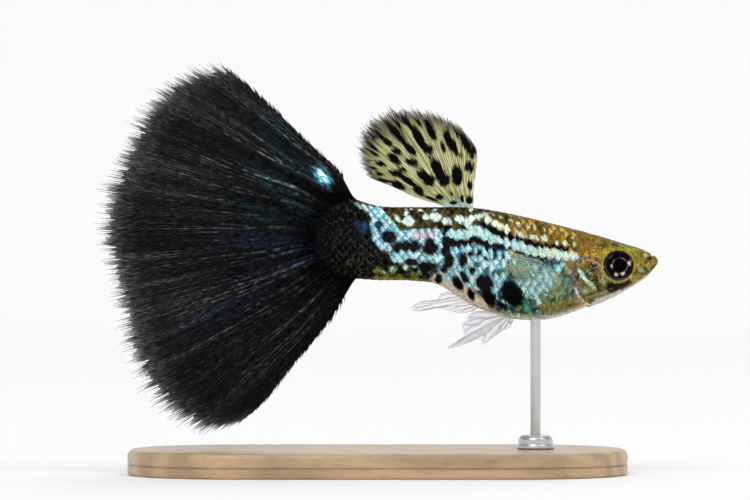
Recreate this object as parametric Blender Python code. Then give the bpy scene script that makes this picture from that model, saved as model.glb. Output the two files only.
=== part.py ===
"""Fancy guppy, a male with a black fan tail: a still, life-size model on a plain display stand.

All lengths below are in millimetres and are turned into metres by MM. The fish is about 30 mm
from its lower jaw to the root of the tail fin and 54 mm with the fin. +X runs from the tail to
the head, +Z is up, and the right flank faces -Y. The origin is the middle of the footprint, on
the surface that the stand's base rests on.
"""
import math

import bmesh
import bpy
import numpy as np
from mathutils import Matrix, Vector

MM = 0.001

GAP = 0.3  # left between pieces that meet
FIN_THICKNESS = 0.55
RING_POINTS = 28  # points round each section of the body
RING_SPACING = 1.0  # along the body

# The body: place, top, bottom, half width, and how square the section is above and below
BODY_STATIONS = [
    (-2.3, 26.50, 18.80, 0.84, 2.0, 2.0),
    (-0.3, 25.88, 18.66, 0.98, 2.0, 2.0),
    (3.5, 25.69, 18.57, 1.30, 2.1, 2.0),
    (5.8, 25.69, 18.23, 1.60, 2.2, 1.9),
    (7.65, 25.69, 17.12, 1.88, 2.2, 1.8),
    (9.5, 25.59, 16.07, 2.16, 2.2, 1.8),
    (12.0, 25.20, 15.12, 2.50, 2.2, 1.8),
    (14.3, 24.72, 14.80, 2.72, 2.2, 1.8),
    (16.6, 24.15, 14.92, 2.80, 2.2, 1.9),
    (18.9, 23.57, 15.60, 2.74, 2.3, 1.9),
    (20.4, 23.18, 16.18, 2.64, 2.4, 1.9),
    (22.0, 22.70, 16.75, 2.48, 2.6, 1.9),
    (23.5, 22.22, 17.53, 2.26, 2.8, 2.0),
    (25.1, 21.74, 18.52, 1.82, 2.8, 2.0),
    (25.8, 21.45, 19.05, 1.52, 2.7, 2.1),
    (26.5, 21.02, 19.75, 1.06, 2.5, 2.2),
    (26.85, 20.80, 20.10, 0.66, 2.3, 2.2),
]
SNOUT_TIP = (26.98, 20.42)
STALK_END_RADIUS = 3.85  # the tail stalk ends in a round flap, seen from the side
STALK_END_ROUNDS = (12, 27, 42, 56, 69, 80)  # degrees round the flap, one section at each
STALK_END_HALF_WIDTH = 0.36

# Where the body is parted
GILL_COVER_EDGE = [
    (20.9, 25.5), (20.5, 23.2), (20.0, 21.4), (19.2, 20.6), (18.75, 19.9), (18.7, 18.8),
    (19.0, 17.8), (19.6, 16.9), (20.3, 15.9), (20.7, 14.5),
]
STALK_CUT = [(4.2, 28.0), (4.6, 22.0), (4.2, 16.0)]
MOUTH_CLEFT = [(27.6, 21.0), (26.55, 20.85), (25.9, 20.45), (25.45, 19.9), (25.35, 19.2), (25.1, 17.6)]

# The eyes
EYE_PLACE = (23.2, 20.06)
EYE_RADIUS = 1.52
EYE_HALF_DEPTH = 1.0
EYE_OUTERMOST = 2.52
EYE_RINGS = 8
EYE_SEGMENTS = 20

# The tail fin, whose edges run out from the tail stalk
TAIL_FIN_UPPER_EDGE = [(-2.4, 26.9), (-3.8, 29.2), (-6.1, 31.3), (-9.2, 34.35), (-12.9, 37.7), (-15.2, 39.5)]
TAIL_FIN_LOWER_EDGE = [(-2.3, 18.2), (-4.6, 14.8), (-8.0, 10.7), (-11.4, 6.5), (-13.9, 4.5)]
TAIL_FIN_TIPS = [
    (-13.9, 4.5), (-16.8, 3.95), (-19.5, 5.1), (-22.6, 8.3), (-24.2, 11.6), (-25.0, 15.1),
    (-26.0, 19.0), (-26.9, 23.2), (-26.3, 27.4), (-25.1, 30.5), (-23.9, 33.4), (-22.3, 35.7),
    (-19.8, 38.0), (-17.6, 39.0), (-15.2, 39.5),
]
TAIL_FIN_RAYS = 32
TAIL_FIN_ROWS = 7
TAIL_FIN_NOTCH = 0.7
TAIL_FIN_RIPPLE = 0.45
TAIL_FIN_SWAY = 1.2

# The dorsal fin
DORSAL_FIN_BASE = [(9.2, 25.95), (7.6, 26.0), (5.7, 26.0)]
DORSAL_FIN_FRONT_EDGE = [(9.2, 25.95), (9.25, 27.4), (9.55, 29.6), (9.6, 30.9), (9.0, 32.0)]
DORSAL_FIN_REAR_EDGE = [(5.7, 26.0), (3.7, 26.6), (1.2, 27.75), (-0.9, 28.5)]
DORSAL_FIN_TIPS = [
    (9.0, 32.0), (7.8, 33.5), (5.6, 34.7), (3.0, 35.45), (0.9, 35.2), (-0.8, 34.4), (-1.8, 32.9),
    (-2.0, 31.2), (-1.7, 29.7), (-0.9, 28.5),
]
DORSAL_FIN_RAYS = 15
DORSAL_FIN_ROWS = 6
DORSAL_FIN_NOTCH = 0.3
DORSAL_FIN_RIPPLE = 0.25
DORSAL_FIN_SWAY = 0.5

# The small fins, each outline a chain of smooth runs that meet at corners, seen from the right
SMALL_FIN_POINT_SPACING = 0.45
PECTORAL_FIN_OUTLINE = [
    [(17.75, 19.2), (17.5, 18.25)],
    [(17.5, 18.25), (16.5, 17.6), (15.6, 17.5)],
    [(15.6, 17.5), (14.3, 18.0), (13.2, 19.1), (12.5, 20.5), (12.5, 21.6)],
    [(12.5, 21.6), (15.2, 20.7), (17.75, 19.2)],
]
PECTORAL_FIN_ROOT = (17.6, 18.7)
PECTORAL_FIN_TIP = (12.5, 20.6)
PECTORAL_FIN_ROOT_OUT = 3.35  # from the middle plane
PECTORAL_FIN_SPREAD = math.radians(22)

PELVIC_FIN_OUTLINE = [
    [(12.9, 14.55), (12.2, 13.75), (11.2, 13.1), (10.0, 12.45)],
    [(10.0, 12.45), (9.5, 12.8), (8.5, 12.6), (6.65, 12.0)],
    [(6.65, 12.0), (7.9, 12.75), (8.4, 13.4), (8.25, 14.1), (8.8, 15.0), (10.1, 15.2), (11.9, 14.75)],
    [(11.9, 14.75), (12.9, 14.55)],
]
PELVIC_FIN_ROOT = (12.4, 14.65)
PELVIC_FIN_TIP = (8.0, 12.8)
PELVIC_FIN_ROOT_OUT = 0.6
PELVIC_FIN_SPREAD = math.radians(17)

# The anal fin, drawn out into the male's long slender organ
ANAL_FIN_OUTLINE = [
    [(10.3, 15.4), (9.2, 15.55), (8.0, 15.4), (6.3, 15.9), (4.6, 15.8), (3.5, 15.7)],
    [(3.5, 15.7), (3.0, 15.95), (3.4, 16.25)],
    [(3.4, 16.25), (4.3, 16.6), (5.6, 16.75), (6.1, 17.15), (6.9, 17.2)],
    [(6.9, 17.2), (7.9, 16.6), (8.9, 16.0), (10.3, 15.4)],
]
ANAL_FIN_ROOT = (9.0, 16.0)
ANAL_FIN_TIP = (3.0, 16.0)

# The display stand
BASE_LENGTH = 48.0
BASE_WIDTH = 24.0
BASE_HEIGHT = 2.4
BASE_CORNER_RADIUS = 11.0
BASE_EDGE_ROUND = 0.5
BASE_EDGE_STEPS = 2
CORNER_SEGMENTS = 12
ROD_PLACE = 15.2
ROD_RADIUS = 0.5
ROD_SINK = 1.5  # how far each end of the rod goes into the belly and into the base
ROD_SEGMENTS = 20
COLLAR_RADIUS = 1.8
COLLAR_HEIGHT = 1.1
COLLAR_BEVEL = 0.3

# Half of the longest cut across the body, enough to pass through it
CUT_HALF_WIDTH = 6.0

BODY_COLOURS = {
    "head": (0.33, 0.31, 0.12),
    "lower_jaw": (0.52, 0.50, 0.36),
    "trunk": (0.24, 0.46, 0.46),
    "tail_stalk": (0.03, 0.035, 0.05),
}


def start_empty():
    """Removes whatever the scene holds."""
    for thing in list(bpy.data.objects):
        bpy.data.objects.remove(thing, do_unlink=True)


def material(name, colour, roughness, metallic=0.0):
    """A plain surface of one colour."""
    made = bpy.data.materials.new(name)
    made.use_nodes = True
    surface = made.node_tree.nodes["Principled BSDF"]
    surface.inputs["Base Color"].default_value = (*colour, 1.0)
    surface.inputs["Roughness"].default_value = roughness
    surface.inputs["Metallic"].default_value = metallic
    return made


def add_object(name, mesh, finish=None):
    """Puts a mesh into the scene under the piece's name."""
    thing = bpy.data.objects.new(name, mesh)
    bpy.context.collection.objects.link(thing)
    if finish:
        mesh.materials.append(finish)
    return thing


def mesh_from(bm, name, smooth_below=None):
    """Turns a bmesh into a mesh, with faces outward and round stretches shaded smooth."""
    bmesh.ops.recalc_face_normals(bm, faces=bm.faces)
    mesh = bpy.data.meshes.new(name)
    bm.to_mesh(mesh)
    bm.free()
    if smooth_below:
        mesh.shade_smooth()
        mesh.set_sharp_from_angle(angle=math.radians(smooth_below))
    return mesh


def hermite(knots, values, at):
    """A smooth curve through the values, one row for each knot, read at any places."""
    knots = np.asarray(knots, dtype=float)
    values = np.asarray(values, dtype=float)
    slopes = np.gradient(values, knots, axis=0)
    span = np.clip(np.searchsorted(knots, at, side="right") - 1, 0, len(knots) - 2)
    width = (knots[span + 1] - knots[span])[:, None]
    t = (np.asarray(at) - knots[span])[:, None] / width
    return (
        values[span] * (2 * t**3 - 3 * t**2 + 1)
        + slopes[span] * width * (t**3 - 2 * t**2 + t)
        + values[span + 1] * (3 * t**2 - 2 * t**3)
        + slopes[span + 1] * width * (t**3 - t**2)
    )


def curve_through(points, count):
    """Evenly spaced points along a smooth curve through the given ones."""
    points = np.array(points, dtype=float)
    knots = np.r_[0, np.cumsum(np.linalg.norm(np.diff(points, axis=0), axis=1))]
    fine = hermite(knots, points, np.linspace(0, knots[-1], 24 * len(points)))
    run = np.r_[0, np.cumsum(np.linalg.norm(np.diff(fine, axis=0), axis=1))]
    at = np.linspace(0, run[-1], count)
    return np.column_stack([np.interp(at, run, fine[:, k]) for k in range(fine.shape[1])])


def offset_outline(points, distance):
    """The same open outline moved to its left by a distance, square to its direction."""
    direction = np.gradient(points, axis=0)
    direction /= np.linalg.norm(direction, axis=1)[:, None]
    return points + distance * np.column_stack([-direction[:, 1], direction[:, 0]])


# The body

def section(x, top, bottom, half_width, upper_power, lower_power):
    """One closed ring across the body: a rounded oval, squarer above or below as its powers say."""
    turn = np.linspace(0, 2 * math.pi, RING_POINTS, endpoint=False)
    side, rise = np.cos(turn), np.sin(turn)
    power = np.where(rise >= 0, upper_power, lower_power)
    middle, half_height = (top + bottom) / 2, (top - bottom) / 2
    y = half_width * np.sign(side) * np.abs(side) ** (2 / power)
    z = middle + half_height * np.sign(rise) * np.abs(rise) ** (2 / power)
    return np.column_stack([np.full_like(y, x), y, z])


def body_rings():
    """The rings of the whole body, from the end of the tail stalk to the snout."""
    stations = np.array(BODY_STATIONS)
    first = stations[0]
    middle = (first[1] + first[2]) / 2
    rings = []
    for degrees in reversed(STALK_END_ROUNDS):
        lean = math.radians(degrees)
        half_height = STALK_END_RADIUS * math.cos(lean)
        shrink = (1 - math.sin(lean)) ** 0.5
        half_width = STALK_END_HALF_WIDTH + (first[3] - STALK_END_HALF_WIDTH) * shrink
        x = first[0] - STALK_END_RADIUS * math.sin(lean)
        rings.append(section(x, middle + half_height, middle - half_height, half_width, 2.0, 2.0))
    length = stations[-1, 0] - first[0]
    places = np.linspace(first[0], stations[-1, 0], round(length / RING_SPACING) + 1)
    ahead_of_eye = (places[-1] + places[-2]) / 2
    places = np.sort(np.r_[places, ahead_of_eye])
    for x, row in zip(places, hermite(stations[:, 0], stations[:, 1:], places)):
        rings.append(section(x, *row))
    return rings


def body_mesh():
    """The closed skin over all the rings, with a point at each end."""
    bm = bmesh.new()
    loops = []
    for ring in body_rings():
        corners = [bm.verts.new(Vector(point) * MM) for point in ring]
        edges = [bm.edges.new((corners[k], corners[k - 1])) for k in range(RING_POINTS)]
        loops.append((corners, edges))
    for (_, behind), (_, ahead) in zip(loops, loops[1:]):
        bmesh.ops.bridge_loops(bm, edges=behind + ahead)
    middle = (BODY_STATIONS[0][1] + BODY_STATIONS[0][2]) / 2
    tail_point = (BODY_STATIONS[0][0] - STALK_END_RADIUS, 0, middle)
    for point, (corners, _) in ((tail_point, loops[0]), ((SNOUT_TIP[0], 0, SNOUT_TIP[1]), loops[-1])):
        tip = bm.verts.new(Vector(point) * MM)
        for k in range(RING_POINTS):
            bm.faces.new((corners[k - 1], corners[k], tip))
    return mesh_from(bm, "body", smooth_below=40)


def prism_cutter(name, outline):
    """A cutter with the given outline seen from the side, right across the body."""
    bm = bmesh.new()
    near = [bm.verts.new(Vector((x, -CUT_HALF_WIDTH, z)) * MM) for x, z in outline]
    face = bm.faces.new(near)
    swept = bmesh.ops.extrude_face_region(bm, geom=[face])
    moved = [v for v in swept["geom"] if isinstance(v, bmesh.types.BMVert)]
    bmesh.ops.translate(bm, verts=moved, vec=Vector((0, 2 * CUT_HALF_WIDTH * MM, 0)))
    return hide_cutter(add_object(name, mesh_from(bm, name)))


def hide_cutter(cutter):
    """Marks an object as a tool that isn't part of the model."""
    cutter.hide_render = True
    cutter.display_type = "WIRE"
    return cutter


def cut(target, cutter, operation="DIFFERENCE"):
    """Cuts a piece with a cutter, or keeps only what is inside it."""
    modifier = target.modifiers.new(f"{operation.lower()} {cutter.name}", "BOOLEAN")
    modifier.operation = operation
    modifier.object = cutter


def eye_ball(name, side, extra=0.0):
    """A flattened ball on the given side of the head, larger by an extra margin."""
    bm = bmesh.new()
    bmesh.ops.create_uvsphere(bm, u_segments=EYE_SEGMENTS, v_segments=EYE_RINGS, radius=1.0)
    grown = EYE_RADIUS + extra
    bmesh.ops.scale(bm, verts=bm.verts, vec=Vector((grown, grown, EYE_HALF_DEPTH + extra)) * MM)
    facing_side = Matrix.Rotation(math.radians(90), 3, "X")
    bmesh.ops.rotate(bm, verts=bm.verts, cent=(0, 0, 0), matrix=facing_side)
    centre = Vector((EYE_PLACE[0], side * (EYE_OUTERMOST - EYE_HALF_DEPTH), EYE_PLACE[1]))
    bmesh.ops.translate(bm, verts=bm.verts, vec=centre * MM)
    return mesh_from(bm, name, smooth_below=60)


def body_pieces():
    """Head, lower jaw, trunk and tail stalk, parted from one body by thin cuts."""
    whole = body_mesh()
    gill_edge = curve_through(GILL_COVER_EDGE, 24)
    cleft = curve_through(MOUTH_CLEFT, 14)
    stalk_cut = curve_through(STALK_CUT, 5)
    front = 30.0
    tail = -10.0
    above, below = gill_edge[0], gill_edge[-1]
    head_region = prism_cutter(
        "head_region",
        [*gill_edge, (front, below[1]), (front, above[1])],
    )
    behind_gills = offset_outline(gill_edge, -GAP)
    trunk_region = prism_cutter(
        "trunk_region",
        [*behind_gills, *offset_outline(stalk_cut, GAP)[::-1]],
    )
    stalk_region = prism_cutter(
        "tail_stalk_region",
        [*stalk_cut, (tail, stalk_cut[-1][1]), (tail, stalk_cut[0][1])],
    )
    jaw_region = prism_cutter("jaw_region", [*cleft, (front, cleft[-1][1]), (front, cleft[0][1])])
    jaw_room = prism_cutter(
        "jaw_room",
        [*offset_outline(cleft, -GAP), (front, cleft[-1][1] - GAP), (front, cleft[0][1] + GAP)],
    )

    pieces = {}
    for name, region in (
        ("head", head_region),
        ("lower_jaw", jaw_region),
        ("trunk", trunk_region),
        ("tail_stalk", stalk_region),
    ):
        mesh = whole.copy()
        mesh.name = name
        pieces[name] = add_object(name, mesh, material(name, BODY_COLOURS[name], 0.35))
        cut(pieces[name], region, "INTERSECT")
    cut(pieces["head"], jaw_room)
    for side, label in ((-1, "right"), (1, "left")):
        socket = eye_ball(f"eye_socket_{label}", side, GAP)
        cut(pieces["head"], hide_cutter(add_object(f"eye_socket_{label}", socket)))
    return pieces


def eyes():
    """The two eyes, each a flattened ball in its socket."""
    for side, label in ((-1, "right"), (1, "left")):
        glossy = material(f"eye_{label}", (0.02, 0.018, 0.015), 0.06)
        add_object(f"eye_{label}", eye_ball(f"eye_{label}", side), glossy)


# The fins

def fin_sheet(base, front, rear, tips, rays, rows, notch):
    """A sheet inside four edges, as a grid of rows from the base out and columns along the rays.

    Each point blends the base with the tips and the front edge with the rear edge (a Coons
    patch). Between the rays the tips draw back by the notch.
    """
    columns = 2 * rays + 1
    base = curve_through(base, columns)
    tips = curve_through(tips, columns)
    front = curve_through(front, rows + 1)
    rear = curve_through(rear, rows + 1)
    out = np.linspace(0, 1, rows + 1)[:, None, None]
    across = np.linspace(0, 1, columns)[None, :, None]
    blend = (1 - out) * base[None] + out * tips[None]
    blend = blend + (1 - across) * front[:, None] + across * rear[:, None]
    corners = (1 - out) * ((1 - across) * base[0] + across * base[-1])
    corners = corners + out * ((1 - across) * tips[0] + across * tips[-1])
    sheet = blend - corners
    inward = sheet[-2] - sheet[-1]
    inward /= np.linalg.norm(inward, axis=1)[:, None]
    between_rays = (np.arange(columns) % 2 == 1)[:, None]
    sheet[-1] += inward * notch * between_rays
    return sheet


def fin_object(name, sheet, away, finish):
    """A fin of even thickness on a sheet, whose points stand away from the middle plane."""
    bm = bmesh.new()
    rows, columns = sheet.shape[:2]
    grid = [
        [bm.verts.new(Vector((*sheet[i, j, :1], away[i, j], sheet[i, j, 1])) * MM) for j in range(columns)]
        for i in range(rows)
    ]
    for i in range(rows - 1):
        for j in range(columns - 1):
            bm.faces.new((grid[i][j], grid[i][j + 1], grid[i + 1][j + 1], grid[i + 1][j]))
    fin = add_object(name, mesh_from(bm, name, smooth_below=40), finish)
    thick = fin.modifiers.new("fin thickness", "SOLIDIFY")
    thick.thickness = FIN_THICKNESS * MM
    thick.offset = 0


def ripple(sheet, height, waves, sway):
    """How far each point of a sheet stands to the side: ripples that grow outward, and a slow bend."""
    rows, columns = sheet.shape[:2]
    out = np.linspace(0, 1, rows)[:, None]
    across = np.linspace(0, 1, columns)[None, :]
    return height * out**2 * np.sin(2 * math.pi * waves * across) + sway * out**2


def tail_fin():
    """The great fan, set round the end of the tail stalk."""
    x, top, bottom = BODY_STATIONS[0][:3]
    radius = STALK_END_RADIUS + GAP
    middle = (top + bottom) / 2
    start = math.atan2(TAIL_FIN_LOWER_EDGE[0][1] - middle, TAIL_FIN_LOWER_EDGE[0][0] - x)
    end = math.atan2(TAIL_FIN_UPPER_EDGE[0][1] - middle, TAIL_FIN_UPPER_EDGE[0][0] - x)
    angles = np.linspace(start, end - 2 * math.pi, 25)
    base = np.column_stack([x + radius * np.cos(angles), middle + radius * np.sin(angles)])
    lower = [tuple(base[0]), *TAIL_FIN_LOWER_EDGE[1:]]
    upper = [tuple(base[-1]), *TAIL_FIN_UPPER_EDGE[1:]]
    sheet = fin_sheet(base, lower, upper, TAIL_FIN_TIPS, TAIL_FIN_RAYS, TAIL_FIN_ROWS, TAIL_FIN_NOTCH)
    away = ripple(sheet, TAIL_FIN_RIPPLE, 3.0, TAIL_FIN_SWAY)
    fin_object("tail_fin", sheet, away, material("tail_fin", (0.012, 0.014, 0.02), 0.5))


def dorsal_fin():
    """The fan on the back, leaning over the tail stalk."""
    sheet = fin_sheet(
        DORSAL_FIN_BASE,
        DORSAL_FIN_FRONT_EDGE,
        DORSAL_FIN_REAR_EDGE,
        DORSAL_FIN_TIPS,
        DORSAL_FIN_RAYS,
        DORSAL_FIN_ROWS,
        DORSAL_FIN_NOTCH,
    )
    away = ripple(sheet, DORSAL_FIN_RIPPLE, 2.0, DORSAL_FIN_SWAY)
    fin_object("dorsal_fin", sheet, away, material("dorsal_fin", (0.62, 0.62, 0.36), 0.45))


def flat_fin(name, outline, root, tip, root_out, spread, finish):
    """A flat fin cut to an outline, which leans out from the middle plane from its root to its tip.

    A point's distance from the middle plane is root_out plus its reach along the line from root
    to tip times the tangent of the spread. A negative root_out sets the fin on the right side.
    """
    root = np.array(root)
    along = np.array(tip) - root
    along /= np.linalg.norm(along)
    points = []
    for run in outline:
        length = np.linalg.norm(np.diff(np.array(run), axis=0), axis=1).sum()
        count = max(2, round(length / SMALL_FIN_POINT_SPACING) + 1)
        points.append(curve_through(run, count)[:-1])
    points = np.vstack(points)
    side = math.copysign(1, root_out)
    out = root_out + side * math.tan(spread) * ((points - root) @ along)
    bm = bmesh.new()
    half = FIN_THICKNESS / 2
    rim = [bm.verts.new(Vector((x, y - half, z)) * MM) for (x, z), y in zip(points, out)]
    swept = bmesh.ops.extrude_face_region(bm, geom=[bm.faces.new(rim)])
    far_side = [v for v in swept["geom"] if isinstance(v, bmesh.types.BMVert)]
    bmesh.ops.translate(bm, verts=far_side, vec=Vector((0, FIN_THICKNESS * MM, 0)))
    add_object(name, mesh_from(bm, name, smooth_below=40), finish)


def small_fins():
    """The pectoral and pelvic fins, one of each to a side, and the anal fin in the middle."""
    for side, label in ((-1, "right"), (1, "left")):
        flat_fin(
            f"pectoral_fin_{label}",
            PECTORAL_FIN_OUTLINE,
            PECTORAL_FIN_ROOT,
            PECTORAL_FIN_TIP,
            side * PECTORAL_FIN_ROOT_OUT,
            PECTORAL_FIN_SPREAD,
            material(f"pectoral_fin_{label}", (0.72, 0.76, 0.70), 0.3),
        )
        flat_fin(
            f"pelvic_fin_{label}",
            PELVIC_FIN_OUTLINE,
            PELVIC_FIN_ROOT,
            PELVIC_FIN_TIP,
            side * PELVIC_FIN_ROOT_OUT,
            PELVIC_FIN_SPREAD,
            material(f"pelvic_fin_{label}", (0.80, 0.84, 0.90), 0.35),
        )
    pale = material("anal_fin", (0.82, 0.78, 0.70), 0.35)
    flat_fin("anal_fin", ANAL_FIN_OUTLINE, ANAL_FIN_ROOT, ANAL_FIN_TIP, 0.0, 0.0, pale)


# The stand

def cylinder_mesh(name, radius, low, high, bevel=0.0):
    """An upright round bar at the rod's place, its top edge rounded by the bevel."""
    bm = bmesh.new()
    bmesh.ops.create_cone(
        bm,
        cap_ends=True,
        segments=ROD_SEGMENTS,
        radius1=radius * MM,
        radius2=radius * MM,
        depth=(high - low) * MM,
    )
    bmesh.ops.translate(bm, verts=bm.verts, vec=Vector((ROD_PLACE, 0, (low + high) / 2)) * MM)
    if bevel:
        top = [e for e in bm.edges if min(v.co.z for v in e.verts) > (high - bevel / 2) * MM]
        bmesh.ops.bevel(bm, geom=top, offset=bevel * MM, segments=2, affect="EDGES", profile=0.5)
    return mesh_from(bm, name, smooth_below=40)


def stand_base():
    """A flat slab with round ends and softened edges, bored for the rod."""
    bm = bmesh.new()
    centre_x = BASE_LENGTH / 2 - BASE_CORNER_RADIUS
    centre_y = BASE_WIDTH / 2 - BASE_CORNER_RADIUS
    rim = []
    for quarter, (sx, sy) in enumerate(((1, 1), (-1, 1), (-1, -1), (1, -1))):
        for step in range(CORNER_SEGMENTS + 1):
            turn = (quarter + step / CORNER_SEGMENTS) * math.pi / 2
            x = sx * centre_x + BASE_CORNER_RADIUS * math.cos(turn)
            y = sy * centre_y + BASE_CORNER_RADIUS * math.sin(turn)
            rim.append(bm.verts.new(Vector((x, y, 0)) * MM))
    floor = bm.faces.new(rim)
    swept = bmesh.ops.extrude_face_region(bm, geom=[floor])
    top = [v for v in swept["geom"] if isinstance(v, bmesh.types.BMVert)]
    bmesh.ops.translate(bm, verts=top, vec=Vector((0, 0, BASE_HEIGHT * MM)))
    wood = material("stand_base", (0.62, 0.50, 0.36), 0.35)
    base = add_object("stand_base", mesh_from(bm, "stand_base", smooth_below=40), wood)
    bore = cylinder_mesh("rod_bore", ROD_RADIUS + GAP, BASE_HEIGHT - ROD_SINK - GAP, BASE_HEIGHT + 1)
    cut(base, hide_cutter(add_object("rod_bore", bore)))
    rounded = base.modifiers.new("softened edges", "BEVEL")
    rounded.width = BASE_EDGE_ROUND * MM
    rounded.segments = BASE_EDGE_STEPS
    rounded.limit_method = "ANGLE"
    rounded.angle_limit = math.radians(60)


def stand_rod(trunk):
    """One slim rod from the base up into the belly, with a collar round its foot."""
    steel = material("stand_rod", (0.72, 0.72, 0.73), 0.25, metallic=1.0)
    stations = np.array(BODY_STATIONS)
    belly = hermite(stations[:, 0], stations[:, 2:3], [ROD_PLACE])[0, 0]
    top = belly + ROD_SINK
    rod = cylinder_mesh("stand_rod", ROD_RADIUS, BASE_HEIGHT - ROD_SINK, top)
    add_object("stand_rod", rod, steel)
    socket = cylinder_mesh("rod_socket", ROD_RADIUS + GAP, belly - 1, top + GAP)
    cut(trunk, hide_cutter(add_object("rod_socket", socket)))

    low = BASE_HEIGHT + GAP
    collar_mesh = cylinder_mesh("stand_collar", COLLAR_RADIUS, low, low + COLLAR_HEIGHT, COLLAR_BEVEL)
    collar = add_object("stand_collar", collar_mesh, steel)
    bore = cylinder_mesh("collar_bore", ROD_RADIUS + GAP, low - 1, low + COLLAR_HEIGHT + 1)
    cut(collar, hide_cutter(add_object("collar_bore", bore)))


def main():
    start_empty()
    pieces = body_pieces()
    eyes()
    tail_fin()
    dorsal_fin()
    small_fins()
    stand_base()
    stand_rod(pieces["trunk"])


main()
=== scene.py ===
"""The looks of the fancy guppy: its painted skin and scales, eyes, rayed fins, stand and stage.

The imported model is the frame. Lengths are in millimetres and are turned into metres by MM. +X runs
from the tail to the snout, +Z is up, and the fish's right flank faces -Y.
"""
import math

import bpy
import numpy as np
from bpy.props import FloatProperty, FloatVectorProperty, IntProperty, PointerProperty
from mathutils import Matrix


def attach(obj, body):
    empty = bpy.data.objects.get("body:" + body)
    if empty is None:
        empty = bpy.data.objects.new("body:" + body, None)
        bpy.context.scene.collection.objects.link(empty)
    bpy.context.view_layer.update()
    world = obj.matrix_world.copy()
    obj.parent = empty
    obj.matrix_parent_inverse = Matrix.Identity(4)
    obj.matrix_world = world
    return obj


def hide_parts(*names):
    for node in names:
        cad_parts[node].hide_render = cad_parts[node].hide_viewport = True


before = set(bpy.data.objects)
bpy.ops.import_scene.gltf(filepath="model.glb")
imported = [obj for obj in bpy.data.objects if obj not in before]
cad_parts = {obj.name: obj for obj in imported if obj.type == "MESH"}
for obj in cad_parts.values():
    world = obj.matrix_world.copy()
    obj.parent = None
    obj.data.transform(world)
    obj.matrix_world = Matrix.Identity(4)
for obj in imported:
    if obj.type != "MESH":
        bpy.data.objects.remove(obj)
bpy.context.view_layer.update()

bl_info = {
    "name": "Fancy guppy",
    "version": (1, 0, 0),
    "blender": (4, 5, 0),
    "location": "3D View > Sidebar > Guppy",
    "description": "Builds the skin, scales, eyes, fins and stand of a life-size fancy guppy",
    "category": "Add Mesh",
}

MM = 0.001

# The bare body: place, top, bottom, half width, and how square the section is above and below
BODY_STATIONS = [
    (-2.3, 26.50, 18.80, 0.84, 2.0, 2.0),
    (-0.3, 25.88, 18.66, 0.98, 2.0, 2.0),
    (3.5, 25.69, 18.57, 1.30, 2.1, 2.0),
    (5.8, 25.69, 18.23, 1.60, 2.2, 1.9),
    (7.65, 25.69, 17.12, 1.88, 2.2, 1.8),
    (9.5, 25.59, 16.07, 2.16, 2.2, 1.8),
    (12.0, 25.20, 15.12, 2.50, 2.2, 1.8),
    (14.3, 24.72, 14.80, 2.72, 2.2, 1.8),
    (16.6, 24.15, 14.92, 2.80, 2.2, 1.9),
    (18.9, 23.57, 15.60, 2.74, 2.3, 1.9),
    (20.4, 23.18, 16.18, 2.64, 2.4, 1.9),
    (22.0, 22.70, 16.75, 2.48, 2.6, 1.9),
    (23.5, 22.22, 17.53, 2.26, 2.8, 2.0),
    (25.1, 21.74, 18.52, 1.82, 2.8, 2.0),
    (25.8, 21.45, 19.05, 1.52, 2.7, 2.1),
    (26.5, 21.02, 19.75, 1.06, 2.5, 2.2),
]
SNOUT_ROUND = 0.48  # how far the snout's round end reaches past the last station
SNOUT_TIP_HEIGHT = 20.42
STALK_END_RADIUS = 3.85  # the tail stalk ends in a round flap, seen from the side
STALK_END_HALF_WIDTH = 0.36

# The skin lies under the scales, and the scales under the body's outline
SKIN_DEPTH = 0.09
SCALE_DEPTH = 0.03
SKIN_GIRTH_POINTS = 300
SKIN_TAIL_SPACING = 0.25
SKIN_HEAD_SPACING = 0.05
SCALE_RUN = (0, 0.22, 0.44, 0.64, 0.80, 0.905, 0.97, 1)  # shares of a scale's length
SCALE_SIDE = (0, 0.45, 0.78, 0.94, 1)  # shares of its half width
SCALE_LENGTH = 1.42  # in spacings between scales
SCALE_HALF_WIDTH = 1.12  # in spacings between rows
SCALES_END = -6.6  # where the last column lies, as a place along the body
SCALE_SNAP = 0.30  # how far each scale takes on its middle's colour, from 0 to 1

# The head's relief
GILL_COVER_EDGE = [
    (20.9, 25.5), (20.5, 23.2), (20.0, 21.4), (19.2, 20.6), (18.75, 19.9), (18.7, 18.8),
    (19.0, 17.8), (19.6, 16.9), (20.3, 15.9), (20.7, 14.5),
]
GILL_COVER_TOP = 21.2
CHEEK_CREASE = [(21.0, 20.3), (20.75, 19.4), (20.85, 18.4), (21.4, 17.5), (22.4, 17.0)]
MOUTH_CLEFT = [(26.45, 21.30), (26.38, 20.95), (26.10, 20.62), (25.75, 20.30)]
MOUTH_CORNER_FOLD = [(25.5, 20.05), (25.8, 19.75), (26.0, 19.45)]
THROAT_FOLD = [(26.6, 19.9), (25.4, 18.95), (24.0, 18.05), (22.6, 17.35), (21.3, 16.85), (20.4, 16.5)]
NOSTRILS = [(25.4, 20.15), (25.4, 21.0)]
HEAD_PORES = [(24.6, 21.55), (23.9, 21.85), (23.1, 21.95), (22.2, 21.95), (21.3, 21.5), (24.4, 18.9), (23.6, 18.3)]

# The eyes
EYE_PLACE = (23.11, 20.06)
EYE_RADIUS = 1.38
EYE_RIM_OUT = 2.12  # the rim's distance from the middle plane, level with the eye's middle
EYE_TILT = 0.15  # how much nearer to the middle plane each millimetre towards the snout is
EYE_BULGE = 0.36
EYE_BACK = 0.7
PUPIL_PLACE = (0.09, 0.0)
PUPIL_RADIUS = 0.67

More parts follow.
